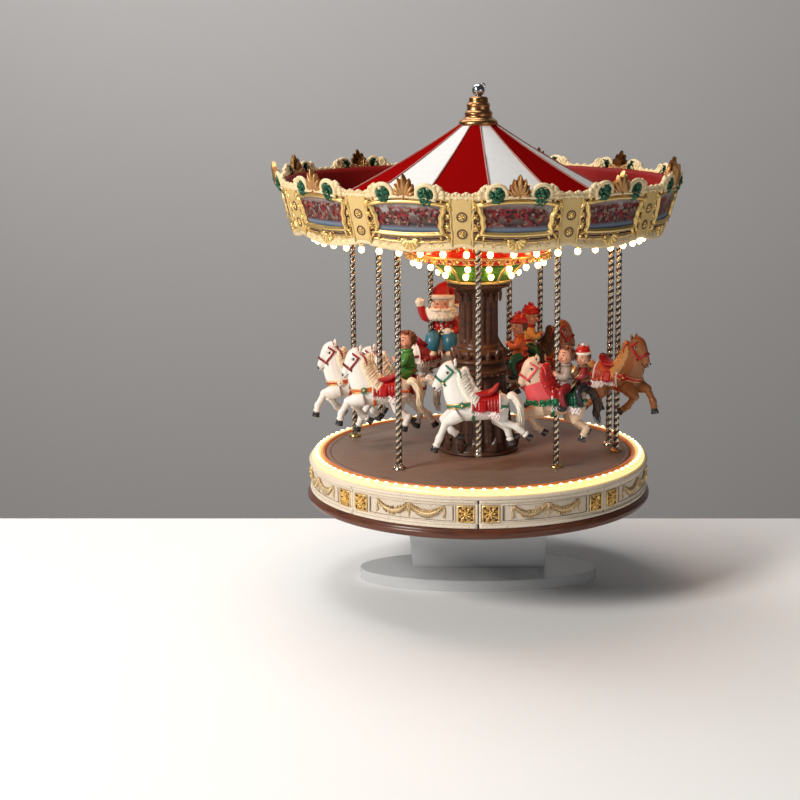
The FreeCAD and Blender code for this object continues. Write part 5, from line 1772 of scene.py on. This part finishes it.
def add_straps(build, skin, attitude):
    """Girth, crupper and bridle with its reins."""
    side, up = Vector((0, 1, 0)), Vector((0, 0, 1))
    build.add(ring_strap(skin, Vector((3.4, 0, 0)), side, up, 2.3, 0.6), BREAST)
    back = Vector((-1, 0, -0.10)).normalized()
    build.add(ring_strap(skin, Vector((-8, 0, 3.2)), back, side, 1.9, 0.6, (-88, 88), 30), BREAST)
    front = head_frame(attitude)[2]
    for along, wide, spread in ((2.6, 1.5, (-15, 195)), (11.8, 1.7, (0, 360))):
        centre = head_point(attitude, along, -0.4)
        build.add(ring_strap(skin, centre, side, front, wide, 0.7, spread, 28, 6.6), BRIDLE)
    for way in (-1, 1):
        points, normals = [], []
        for i in range(9):
            cheek = head_point(attitude, mix(2.6, 11.8, i / 8), -0.9)
            p, n = skin.from_outside(cheek, side * way, 0.25, 9.0)
            points.append(p)
            normals.append(n)
        build.add(strap_band(points, normals, 1.5, 0.7), BRIDLE)
        build.add(ball(head_point(attitude, 11.8, -0.9, way * 3.6), (1.0, 0.6, 1.0), 6, 10), TRIM)
        rein = [head_point(attitude, along, out, way * wide) for along, out, wide in REIN]
        build.add(tube(smooth_path(rein, 5), 0.62, 7), BRIDLE)


def add_breast_band(build, skin, rosettes):
    centre = Vector((2.5, 0, 4.4))
    ahead, side = Vector((1, 0, -0.17)).normalized(), Vector((0, 1, 0))
    build.add(ring_strap(skin, centre, ahead, side, 3.0, 0.75, (-104, 104), 48), BREAST)
    for edge in away_from(centre, (0, 0, -1.45), (0, 0, 1.45)):
        build.add(ring_strap(skin, edge, ahead, side, 0.6, 1.0, (-104, 104), 48), TRIM)
    for angle in rosettes:
        a = math.radians(angle)
        p, n = skin.from_outside(centre, ahead * math.cos(a) + side * math.sin(a), 0.6)
        flat = Build()
        rosette(flat, (0, 0), 2.5, 0, 8, 1.5)
        attach(build, flat, p, n, Vector((0, 0, 1)), ROSE)
        build.add(ball(p + n * 1.2, 0.95, 6, 10), TRIM)


def add_garland(build, skin, rng):
    """A thick leafy garland in place of the breast band."""
    centre = Vector((2.5, 0, 2.6))
    for i in range(64):
        a = math.radians(mix(-100, 100, i / 63))
        p, n = skin.from_outside(centre, Vector((math.cos(a), math.sin(a), -0.12 * math.cos(a))), 0.4)
        for _ in range(3):
            q = p + Vector((rng.uniform(-0.8, 0.8), rng.uniform(-0.8, 0.8), rng.uniform(-1.7, 1.7)))
            build.add(ball(q + n * rng.uniform(0.0, 0.8), rng.uniform(0.7, 1.2), 5, 7), BREAST)


def cover(build, skin, x_range, angles, lift, kind, ripple=None, edge=None, steps=(34, 40)):
    """A cloth laid over the back, between two ends and two angles from straight up."""
    grid = []
    for i in range(steps[0]):
        s = i / (steps[0] - 1)
        x = mix(x_range[0], x_range[1], s)
        row = []
        for j in range(steps[1]):
            t = j / (steps[1] - 1)
            a = mix(angles[0], angles[1], t)
            if edge:
                a = mix(angles[0], edge(x), t)
            a = math.radians(a)
            border = min(i, steps[0] - 1 - i, j, steps[1] - 1 - j) == 0
            extra = ripple(x, t) if ripple and not border else 0.0
            p, n = skin.from_outside(Vector((x, 0, 0.6)), Vector((0, math.sin(a), math.cos(a))), 0.0)
            row.append(p + n * (-0.4 if border else lift + extra))
        grid.append(row)
    flip = (angles[1] > angles[0]) == (x_range[1] > x_range[0])

    def at(u, v):
        return grid[round(u * (steps[0] - 1))][round(v * (steps[1] - 1))]

    points, faces = surface(steps[0], steps[1], at)
    build.add((points, [face[::-1] for face in faces] if not flip else faces), kind)


def add_cloths(build, skin, edged):
    """The blanket with its fringe and lace, and the saddle."""

    def fringe(x, t):
        hang = max(0.0, abs(t - 0.5) * 2 - 0.30)
        return 1.5 * hang * abs(math.sin(x * 1.5))

    def lace(x, t):
        return 0.45 * math.sin(x * 3.1) * math.sin(t * 9.0)

    cover(build, skin, (4.4, -14.4), (-101, 101), 0.7, BLANKET, fringe, None, (64, 60))
    for side in (-1, 1):
        def scallop(x, side=side):
            return side * (121 + 6 * abs(math.sin(x * 1.1)))
        cover(build, skin, (5.0, -15.0), (side * 96, side * 122), 0.8, LACE, lace, scallop, (80, 14))
    side, up = Vector((0, 1, 0)), Vector((0, 0, 1))
    for centre in through((4.6, 0, 0.6), (-14.6, 0, 0.6)):
        build.add(ring_strap(skin, centre, side, up, 1.2, 1.2, (-10, 190), 40), LACE)
    add_saddle(build, skin, TRIM if edged else SADDLE)


def add_saddle(build, skin, edge_kind):
    """The seat with its cantle, the cord round it and the two flaps."""
    line = [(5.6, 9.6), (3.4, 10.8), (-1.0, 9.9), (-5.5, 10.0), (-9.4, 11.6), (-12.2, 14.8), (-13.4, 16.2)]
    sizes = [(2.4, 1.6), (4.6, 2.0), (5.9, 2.1), (6.6, 2.1), (6.6, 1.9), (5.2, 1.3), (2.4, 0.6)]
    build.add(loft([(x, 0, z) for x, z in line], sizes), SADDLE)
    rim = through(
        (5.8, 0, 11.2), (3.6, 4.3, 11.2), (-1.0, 5.9, 10.6), (-5.5, 6.7, 10.8), (-9.6, 6.4, 12.2),
        (-12.2, 4.9, 15.2), (-13.6, 0, 16.8),
    )
    loop = rim + mirrored_copy(rim[1:-1]) + [rim[0]]
    build.add(tube(smooth_path(loop, 5), 0.55, 7), edge_kind)
    for side in (-1, 1):
        flap = Build()
        slab(flap, [(-3.2, -6.6), (2.6, -6.6), (3.6, 2.0), (-3.8, 2.0)], 1.1, 0, 8)
        p, n = skin.from_outside(Vector((-3.0, 0, 0.6)), Vector((0, side, 0.55)), 0.5)
        attach(build, flap, p, n, Vector((0, 0, 1)), SADDLE)


def in_bib(corners):
    """Whether a face lies on the cloth round the lower half of a rearing horse's neck."""
    middle = sum(corners, Vector()) / len(corners)
    return middle.x > 4.0 and 3.0 < middle.z < 17.0 - 0.35 * (middle.x - 12.0)


def dressed_horse(attitude, skins, style, rng):
    """Everything of one horse that is not its rider."""
    part = skins[attitude]
    skin = Skin(part)
    build = Build().add(part, COAT)
    if style.get("bib"):
        points, faces = part
        build.kinds = [BRIDLE if in_bib([points[i] for i in face]) else COAT for face in faces]
    add_face(build, attitude)
    add_hooves(build, attitude)
    add_mane(build, attitude, rng)
    add_tail(build, rng, style.get("tail_reach", 1.0))
    add_straps(build, skin, attitude)
    if style.get("garland"):
        add_garland(build, skin, rng)
    else:
        add_breast_band(build, skin, (-42, 42))
    add_cloths(build, skin, style["saddle"] == "black")
    return build


# Riders -------------------------------------------------------------------------------------------
# A rider sits at its own origin, facing +X.

SKIN, HAIR, HAT, BRIM, COATING, LEGGING, SHOE, GLOVE, DOT, LIP, BUCKLE, SCARF = range(12)


def rider_head(build, style, rng):
    centre = Vector((1.4, 0, 18.8))
    build.add(ball(centre, (4.5, 4.2, 4.9), 14, 20), SKIN)
    build.add(ball(centre + Vector((0.6, 0, -2.6)), (3.2, 3.1, 2.4), 8, 12), SKIN)
    build.add(ball(centre + Vector((4.6, 0, -0.9)), (0.75, 0.7, 0.85), 7, 10), SKIN)
    build.add(tube([Vector((0.6, 0, 12.0)), Vector((1.2, 0, 15.5))], 1.9, 12), SKIN)
    for side in (-1, 1):
        build.add(ball(centre + Vector((0.0, side * 4.2, -0.6)), (0.9, 0.6, 1.2), 6, 9), SKIN)
        build.add(ball(centre + Vector((4.05, side * 1.5, 0.6)), (0.38, 0.42, 0.5), 6, 9), DOT)
        cheek = ball(centre + Vector((3.3, side * 2.2, -1.6)), (1.1, 1.1, 1.0), 7, 10)
        build.add(cheek, LIP if style.get("rosy") else SKIN)
        brow = away_from(centre, (4.1, side * 0.8, 1.9), (4.0, side * 1.6, 2.3), (3.5, side * 2.5, 2.0))
        build.add(tube(brow, 0.22, 5), HAIR)
    smile = away_from(centre, (3.9, -1.2, -2.5), (4.35, 0, -2.9), (3.9, 1.2, -2.5))
    build.add(tube(smooth_path(smile, 3), 0.24, 6), LIP)
    build.add(ball(centre + Vector((-1.3, 0, 1.2)), (4.2, 4.35, 4.3), 12, 18), HAIR)
    for i in range(18):
        a = math.radians(mix(78, 282, i / 17))
        out = Vector((math.cos(a), math.sin(a), 0))
        top = centre + Vector((-0.4, 0, 4.6)) + out * 1.4
        path = [top, centre + out * 3.9 + Vector((-0.4, 0, 3.4))]
        path.append(centre + out * 4.9 + Vector((-0.3, 0, 0.2)))
        path.append(centre + out * 4.4 + Vector((-0.4, 0, -2.6 + rng.uniform(-0.5, 0.5))))
        hair_lock(build, path, rng.uniform(0.9, 1.2), HAIR, 6)
    for i in range(5):
        y = mix(-2.6, 2.6, i / 4)
        path = away_from(centre, (-0.4, y * 0.4, 5.0), (1.8, y * 0.9, 4.6), (3.2, y + 0.5, 3.4))
        hair_lock(build, path, 0.85, HAIR, 6)


def rider_hat(build, style):
    centre = Vector((1.0, 0, 21.2))
    kind = style.get("hat")
    if kind == "cap":
        build.add(ball(centre + Vector((-0.4, 0, 0.9)), (4.9, 4.8, 3.9), 10, 16), HAT)
        brim = [centre + Vector((4.7 * math.cos(a), 4.6 * math.sin(a), 0.3)) for a in whole_turn(20)]
        build.add(tube(brim, 0.85, 8, closed=True), BRIM)
        build.add(ball(centre + Vector((-0.4, 0, 5.2)), 1.2, 7, 10), BRIM)
        for side in (-1, 1):
            build.add(ball(centre + Vector((-1.0, side * 3.2, 3.9)), (0.9, 0.7, 1.5), 7, 9), HAT)
    if kind == "winter":
        path = away_from(
            centre, (-0.6, 0, 1.2), (-1.0, 0.6, 4.0), (-1.8, 2.6, 5.4), (-2.2, 4.8, 4.2),
            (-2.0, 5.9, 0.6), (-1.6, 6.1, -2.6),
        )
        curve = smooth_path(path, 5)
        build.add(tube(curve, taper(4.9, 0.9, len(curve), 0.8), 16), HAT)
        build.add(ball(path[-1] + Vector((0, 0, -1.0)), 1.5, 8, 12), BRIM)
        brim = away_from(
            centre,
            *[(4.3 * math.cos(a) - 0.3, 4.5 * math.sin(a), 0.9 + 0.5 * math.cos(a)) for a in whole_turn(28)]
        )
        build.add(tube(brim, 1.25, 9, closed=True), BRIM)


def hoop(x, radii, z, count, wave=0.0, waves=1):
    """An oval loop round a rider, which may rise and fall."""
    return [
        Vector((x + radii[0] * math.cos(a), radii[1] * math.sin(a), z + wave * math.sin(waves * a)))
        for a in whole_turn(count)
    ]


def rider_body(build, style):
    spine = [(-0.6, -1.6), (-0.2, 1.0), (0.2, 5.0), (0.6, 9.4), (0.6, 12.2), (0.8, 13.8)]
    girth = [(4.2, 3.8), (5.0, 4.6), (4.6, 4.2), (4.9, 4.1), (4.0, 3.2), (1.9, 1.8)]
    build.add(loft([(x, 0, z) for x, z in spine], girth), COATING)
    hem = hoop(-0.2, (4.8, 5.2), 0.8, 28, 0.2, 5)
    build.add(tube(hem, 0.75, 8, closed=True), BRIM if style.get("belt") else COATING)
    belt = hoop(0.0, (4.45, 4.8), 4.2, 28)
    build.add(tube(belt, 0.8, 8, 1.2, closed=True), DOT if style.get("belt") else SCARF)
    if style.get("belt"):
        for k in range(40):
            a, z = k * 2.4, 1.6 + 9.6 * (k / 39)
            reach = 4.75 - 0.06 * abs(z - 5)
            build.add(ball((reach * math.cos(a) + 0.3, reach * 0.97 * math.sin(a), z), 0.38, 5, 7), BRIM)
        buckle = through((5.0, -1.3, 3.2), (5.0, 1.3, 3.2), (5.0, 1.3, 5.2), (5.0, -1.3, 5.2))
        build.add(tube(buckle, 0.34, 6, closed=True), BUCKLE)
        for k in range(3):
            build.add(ball((4.9 - 0.08 * k, 0, 6.2 + 1.7 * k), 0.62, 7, 10), BRIM)
    neckband = hoop(0.9, (2.7, 2.9), 13.4, 20, 0.3, 3)
    build.add(tube(neckband, 1.15, 8, closed=True), SCARF)


# Shoulder, elbow, wrist and palm of the left arm, and hip, knee, calf and ankle of the left leg
ARMS = {
    "raised": [(0.6, 4.2, 11.4), (1.4, 7.6, 12.2), (2.0, 9.2, 16.6), (2.2, 10.0, 19.6)],
    "resting": [(0.6, 4.4, 11.4), (1.2, 7.8, 8.0), (3.8, 6.6, 4.8), (5.6, 4.0, 4.6)],
    "reins": [(0.6, 4.4, 11.4), (2.2, 6.9, 7.4), (5.2, 5.0, 6.4), (7.6, 2.4, 7.6)],
}
SITTING_LEG = [(0.4, 3.0, 1.4), (6.2, 4.0, 1.2), (8.2, 4.1, -2.0), (7.6, 4.1, -5.4)]
RIDING_LEG = [(0.2, 3.2, -0.4), (5.2, 8.2, -2.6), (5.2, 9.6, -7.0), (3.6, 9.7, -11.2)]


def rider_limbs(build, style):
    for side in (-1, 1):
        if style.get("raised") and side == -1:
            pose = "raised"
        else:
            pose = "resting" if style.get("resting") else "reins"
        arm = [Vector((x, side * y, z)) for x, y, z in ARMS[pose]]
        curve = smooth_path(arm, 5)
        build.add(tube(curve, taper(2.5, 1.75, len(curve)), 12), COATING)
        hand = arm[-1] + (arm[-1] - arm[-2]).normalized() * 1.2
        size = 2.3 if style.get("mittens") else 1.5
        build.add(ball(hand, (size, size * 0.9, size * 1.05), 9, 14), GLOVE)
        build.add(ball(hand + Vector((0.9, -side * size * 0.75, 0.8)), size * 0.42, 7, 10), GLOVE)
        cuff = arm[-1].lerp(arm[-2], 0.15)
        build.add(ball(cuff, (2.0, 2.0, 1.6), 8, 12), BRIM)
        joints = SITTING_LEG if style.get("aside") else RIDING_LEG
        radii = [3.7, 3.7, 3.3, 2.6] if style.get("aside") else [3.3, 2.7, 2.2, 1.8]
        leg = [Vector((x, side * y, z)) for x, y, z in joints]
        curve = smooth_path(leg, 5)
        sized = [read_along(radii, t) for t in taper(0.0, 1.0, len(curve))]
        build.add(tube(curve, sized, 12), LEGGING)
        foot = leg[-1] + Vector((1.4, 0, -1.8))
        build.add(ball(foot, (3.3, 2.1, 1.9), 9, 14), SHOE)
        build.add(ball(foot + Vector((-1.4, 0, 1.5)), (1.9, 1.9, 1.7), 8, 12), SHOE)


def rider_beard(build, rng):
    """A full curled beard with its moustache."""
    face = Vector((1.4, 0, 18.8))
    for row in range(4):
        count = 11 - row
        for i in range(count):
            a = math.radians(mix(-74 + row * 8, 74 - row * 8, i / (count - 1)))
            top = face + Vector((3.6 * math.cos(a) - 0.2 + 0.5 * row, 4.6 * math.sin(a), -1.4 - 1.0 * row))
            path = [top, top + Vector((1.3 * math.cos(a), 1.3 * math.sin(a), -1.0))]
            path.append(top + Vector((1.3 * math.cos(a) + rng.uniform(-0.3, 0.3), 0.9 * math.sin(a), -2.4)))
            path.append(top + Vector((0.7 * math.cos(a), 0.4 * math.sin(a) + rng.uniform(-0.4, 0.4), -3.2)))
            hair_lock(build, path, rng.uniform(1.0, 1.3), BRIM, 8)
    for side in (-1, 1):
        build.add(ball(face + Vector((1.0, side * 3.6, -0.2)), (2.4, 1.5, 2.6), 8, 12), BRIM)
        moustache = away_from(
            face, (5.1, side * 0.3, -1.9), (5.4, side * 1.8, -2.3), (4.8, side * 3.4, -2.0),
            (3.9, side * 4.5, -1.2),
        )
        hair_lock(build, moustache, 1.15, BRIM, 8)


def rider(style, rng):
    build = Build()
    rider_body(build, style)
    rider_limbs(build, style)
    head = Build()
    rider_head(head, style, rng)
    rider_hat(head, style)
    if style.get("beard"):
        rider_beard(head, rng)
    neck, grow = Vector((1.0, 0, 14.2)), style.get("head", 1.12)
    turn = Matrix.Rotation(math.radians(style.get("look", 0)), 3, "Z")
    build.merge(head.copied(lambda p: neck + turn @ ((p - neck) * grow)))
    if style.get("drum"):
        build.add(tube(through((5.5, 3.2, 8.4), (9.5, 4.4, 11.6)), 3.6, 20), SCARF)
        build.add(tube(through((5.2, 3.1, 8.1), (5.9, 3.3, 8.7)), 3.8, 20), BUCKLE)
        build.add(tube(through((9.1, 4.3, 11.3), (9.8, 4.5, 11.9)), 3.8, 20), BUCKLE)
    return build


# What every child wears or does, unless its own entry says otherwise
CHILD = dict(size=1.15, up=12.6, hair="auburn", shoes="black", gloves="skin")
CAPPED = dict(CHILD, hat="cap", cap="scarlet", brim="scarlet", trousers="bottle")


def dressing(coat, mane, bridle, breast, saddle, blanket, rose, **more):
    return dict(
        coat=coat, mane=mane, bridle=bridle, breast=breast, saddle=saddle, blanket=blanket, rose=rose,
        **more
    )


# Dressing of each horse, and its riders with their seat, turn, size and height over the body's centre
STYLES = [
    dressing("white", "ivory", "green", "green", "red", "red", "green"),
    dressing("white", "blonde", "wine", "orange", "red", "red", "green"),
    dressing("white", "blonde", "wine", "russet", "red", "wine", "ivory", tail_reach=0.6),
    dressing("white", "ivory", "wine", "wine", "wine", "wine", "ivory", riders=[
        dict(CHILD, seat=-8.0, look=48, size=1.22, up=13.2, jacket="leaf", trousers="leaf", scarf="leaf"),
    ]),
    dressing("beige", "scarlet", "pink", "glitter", "black", "bottle", "green", tail="dark", garland=True,
             bib=True, riders=[
        dict(CHILD, seat=-7.5, look=40, size=1.1, up=12.2, jacket="taupe", trousers="wine", scarf="taupe"),
        dict(CAPPED, seat=-19.0, look=55, size=1.0, up=12.4, brim="ivory", jacket="wine", trousers="black",
             scarf="umber", drum=True),
    ]),
    dressing("brown", "tan_streaked_by_painted_shade", "scarlet", "scarlet", "red", "russet", "scarlet"),
    dressing("brown", "dark", "scarlet", "scarlet", "bottle", "bottle", "scarlet", riders=[
        dict(CAPPED, seat=-8.5, look=-40, jacket="amber", hair="amber", scarf="scarlet"),
    ]),
    dressing("white", "ivory", "wine", "wine", "wine", "wine", "ivory", tail_reach=0.6, riders=[
        dict(seat=9.5, turn=-122, size=1.36, up=12.9, head=1.16, wide=1.18, jacket="scarlet",
             trousers="teal", hair="ivory", hat="winter", cap="scarlet", brim="ivory", scarf="ivory",
             shoes="sand", gloves="ivory", mittens=True, beard=True, belt=True, raised=True, resting=True,
             aside=True, rosy=True),
    ]),
    dressing("beige", "dark", "scarlet", "wine", "wine", "wine", "green", riders=[
        dict(CAPPED, seat=-8.5, look=50, jacket="orange", scarf="orange"),
    ]),
]


def figure_materials():
    """Glossy paints of the figures, by plain colour names."""
    # Each name gives a colour and the painted shade laid into its recesses.
    tones = {
        "white": ((0.74, 0.70, 0.64), (0.34, 0.22, 0.15)),
        "beige": ((0.66, 0.47, 0.32), (0.22, 0.11, 0.06)),
        "brown": ((0.27, 0.095, 0.028), (0.06, 0.016, 0.006)),
        "blonde": ((0.74, 0.62, 0.43), (0.30, 0.17, 0.07)),
        "amber": ((0.78, 0.40, 0.09), (0.25, 0.08, 0.02)),
        "ivory": ((0.78, 0.72, 0.60), (0.32, 0.21, 0.12)),
        "green": ((0.03, 0.16, 0.08), (0.01, 0.05, 0.03)),
        "wine": ((0.23, 0.012, 0.016), (0.07, 0.003, 0.004)),
        "orange": ((0.62, 0.11, 0.02), (0.22, 0.03, 0.01)),
        "russet": ((0.40, 0.05, 0.02), (0.12, 0.012, 0.006)),
        "red": ((0.34, 0.004, 0.005), (0.10, 0.001, 0.002)),
        "scarlet": ((0.42, 0.008, 0.007), (0.13, 0.002, 0.002)),
        "pink": ((0.70, 0.085, 0.09), (0.30, 0.02, 0.02)),
        "black": ((0.020, 0.018, 0.020), (0.008, 0.008, 0.008)),
        "bottle": ((0.01, 0.10, 0.045), (0.004, 0.03, 0.015)),
        "leaf": ((0.06, 0.23, 0.045), (0.015, 0.07, 0.015)),
        "auburn": ((0.13, 0.035, 0.014), (0.035, 0.01, 0.005)),
        "taupe": ((0.30, 0.23, 0.19), (0.10, 0.06, 0.045)),
        "umber": ((0.22, 0.10, 0.045), (0.07, 0.03, 0.012)),
        "teal": ((0.025, 0.14, 0.20), (0.008, 0.04, 0.06)),
        "sand": ((0.70, 0.55, 0.36), (0.28, 0.17, 0.08)),
        "dark": ((0.045, 0.025, 0.017), (0.015, 0.008, 0.006)),
        # A tan mane whose dark streaks are painted shade between its locks.
        "tan_streaked_by_painted_shade": ((0.52, 0.27, 0.09), (0.05, 0.015, 0.006)),
        "skin": ((0.62, 0.29, 0.18), (0.34, 0.11, 0.06)),
        "lips": ((0.50, 0.11, 0.08), (0.30, 0.04, 0.03)),
    }
    made = {}
    for name, (tone, shade) in tones.items():
        made[name] = paint("figure_" + name, tone, shade, 0.34, 0.25, 1200.0, 0.06, gloss=0.35)
    lace, lace_shade, lace_worn = (0.78, 0.66, 0.62), (0.32, 0.14, 0.12), (0.40, 0.16, 0.14)
    made["lace"] = paint("figure_lace", lace, lace_shade, 0.4, 0.1, 1500.0, 0.9, worn=lace_worn)
    made["glitter"] = glitter("figure_glitter", (0.01, 0.24, 0.09), (0.0, 0.05, 0.02))
    made["hoof"] = paint("figure_hoof", (0.022, 0.020, 0.020), (0.008, 0.008, 0.008), 0.22, 0.6)
    made["gold"] = gilt("figure_gold", (0.80, 0.50, 0.18))
    return made


def place_at(x, y, height, heading):
    turn = Matrix.Rotation(math.radians(heading), 3, "Z")
    shift = Vector((x, y, height))
    return lambda p: turn @ p + shift


def make_rider(f, number, index, style, seat_place, rng):
    body = rider(style, rng)
    turn = Matrix.Rotation(math.radians(style.get("turn", 0)), 3, "Z")
    size = style["size"]
    origin = Vector((style["seat"], 0, style["up"]))
    names = (
        "skin", style["hair"], style.get("cap", "red"), style.get("brim", "skin"), style["jacket"],
        style["trousers"], style["shoes"], style["gloves"], "black", "lips", "gold", style["scarf"],
    )
    materials = [f[name] for name in names]
    wide = style.get("wide", 1.0)
    placed = body.copied(lambda p: seat_place(origin + turn @ (Vector((p.x, p.y * wide, p.z)) * size)))
    slot = "red_paint" if style["jacket"] in ("scarlet", "wine", "orange", "amber") else "green_paint"
    name = "rider_%d_%d" % (number, index)
    placed.piece(name, materials, "ride_%d" % number, slot, ["horse_%d" % number])


def make_horses():
    f = figure_materials()
    skins = {attitude: fused(body_parts(attitude), "skin_" + attitude) for attitude in LEGS}
    for number, (spec, style) in enumerate(zip(HORSES, STYLES), 1):
        x, y, height, heading, attitude, _ = spec
        rng = random.Random(number)
        place = place_at(x, y, height, heading)
        names = (
            style["coat"], style["mane"], style.get("tail", style["mane"]), "hoof", "ivory", "black",
            style["bridle"], style["breast"], style["saddle"], style["blanket"], "lace", "gold",
            style["rose"],
        )
        materials = [f[name] for name in names]
        horse = dressed_horse(attitude, skins, style, rng).copied(place)
        name, node, body = "dressed_horse_%d" % number, "horse_%d" % number, "ride_%d" % number
        horse.piece(name, materials, body, style["coat"] + "_horse", [node])
        for index, rider_style in enumerate(style.get("riders", []), 1):
            make_rider(f, number, index, rider_style, place, rng)


# CAD pieces that are kept as they are -------------------------------------------------------------

KEPT = {
    "stand_foot": "acrylic", "stand_upright": "acrylic", "upright_bracket": "zinc", "base_screws": "steel",
    "led_strip": "board", "bottom_plate": "plastic", "central_post": "steel", "canopy_cam": "plastic",
    "slip_ring": "brass", "battery_box": "plastic", "battery_cells": "cell", "movement_bedplate": "zinc",
    "comb": "steel", "turntable_hub": "brass", "contact_brushes": "brass", "wind_key": "brass",
    "spring_barrel": "brass", "mainspring": "steel", "music_cylinder": "brass", "governor_fan": "plastic",
    "battery_door": "plastic", "switch_slider": "plastic",
}


def dress_kept_nodes(m):
    for node, material in KEPT.items():
        for holder in bpy.data.objects:
            if holder.type == "MESH" and holder.name == node:
                for slot in holder.material_slots:
                    slot.material = m[material]


def main():
    set_stage()
    m = make_materials()
    dress_kept_nodes(m)
    make_base(m)
    make_led_ring(m)
    make_floor(m)
    make_column(m)
    make_tiers(m)
    make_bulbs(m)
    make_ceiling(m)
    make_cornice(m)
    make_roof(m)
    make_finial(m)
    make_poles(m)
    make_horses()


main()
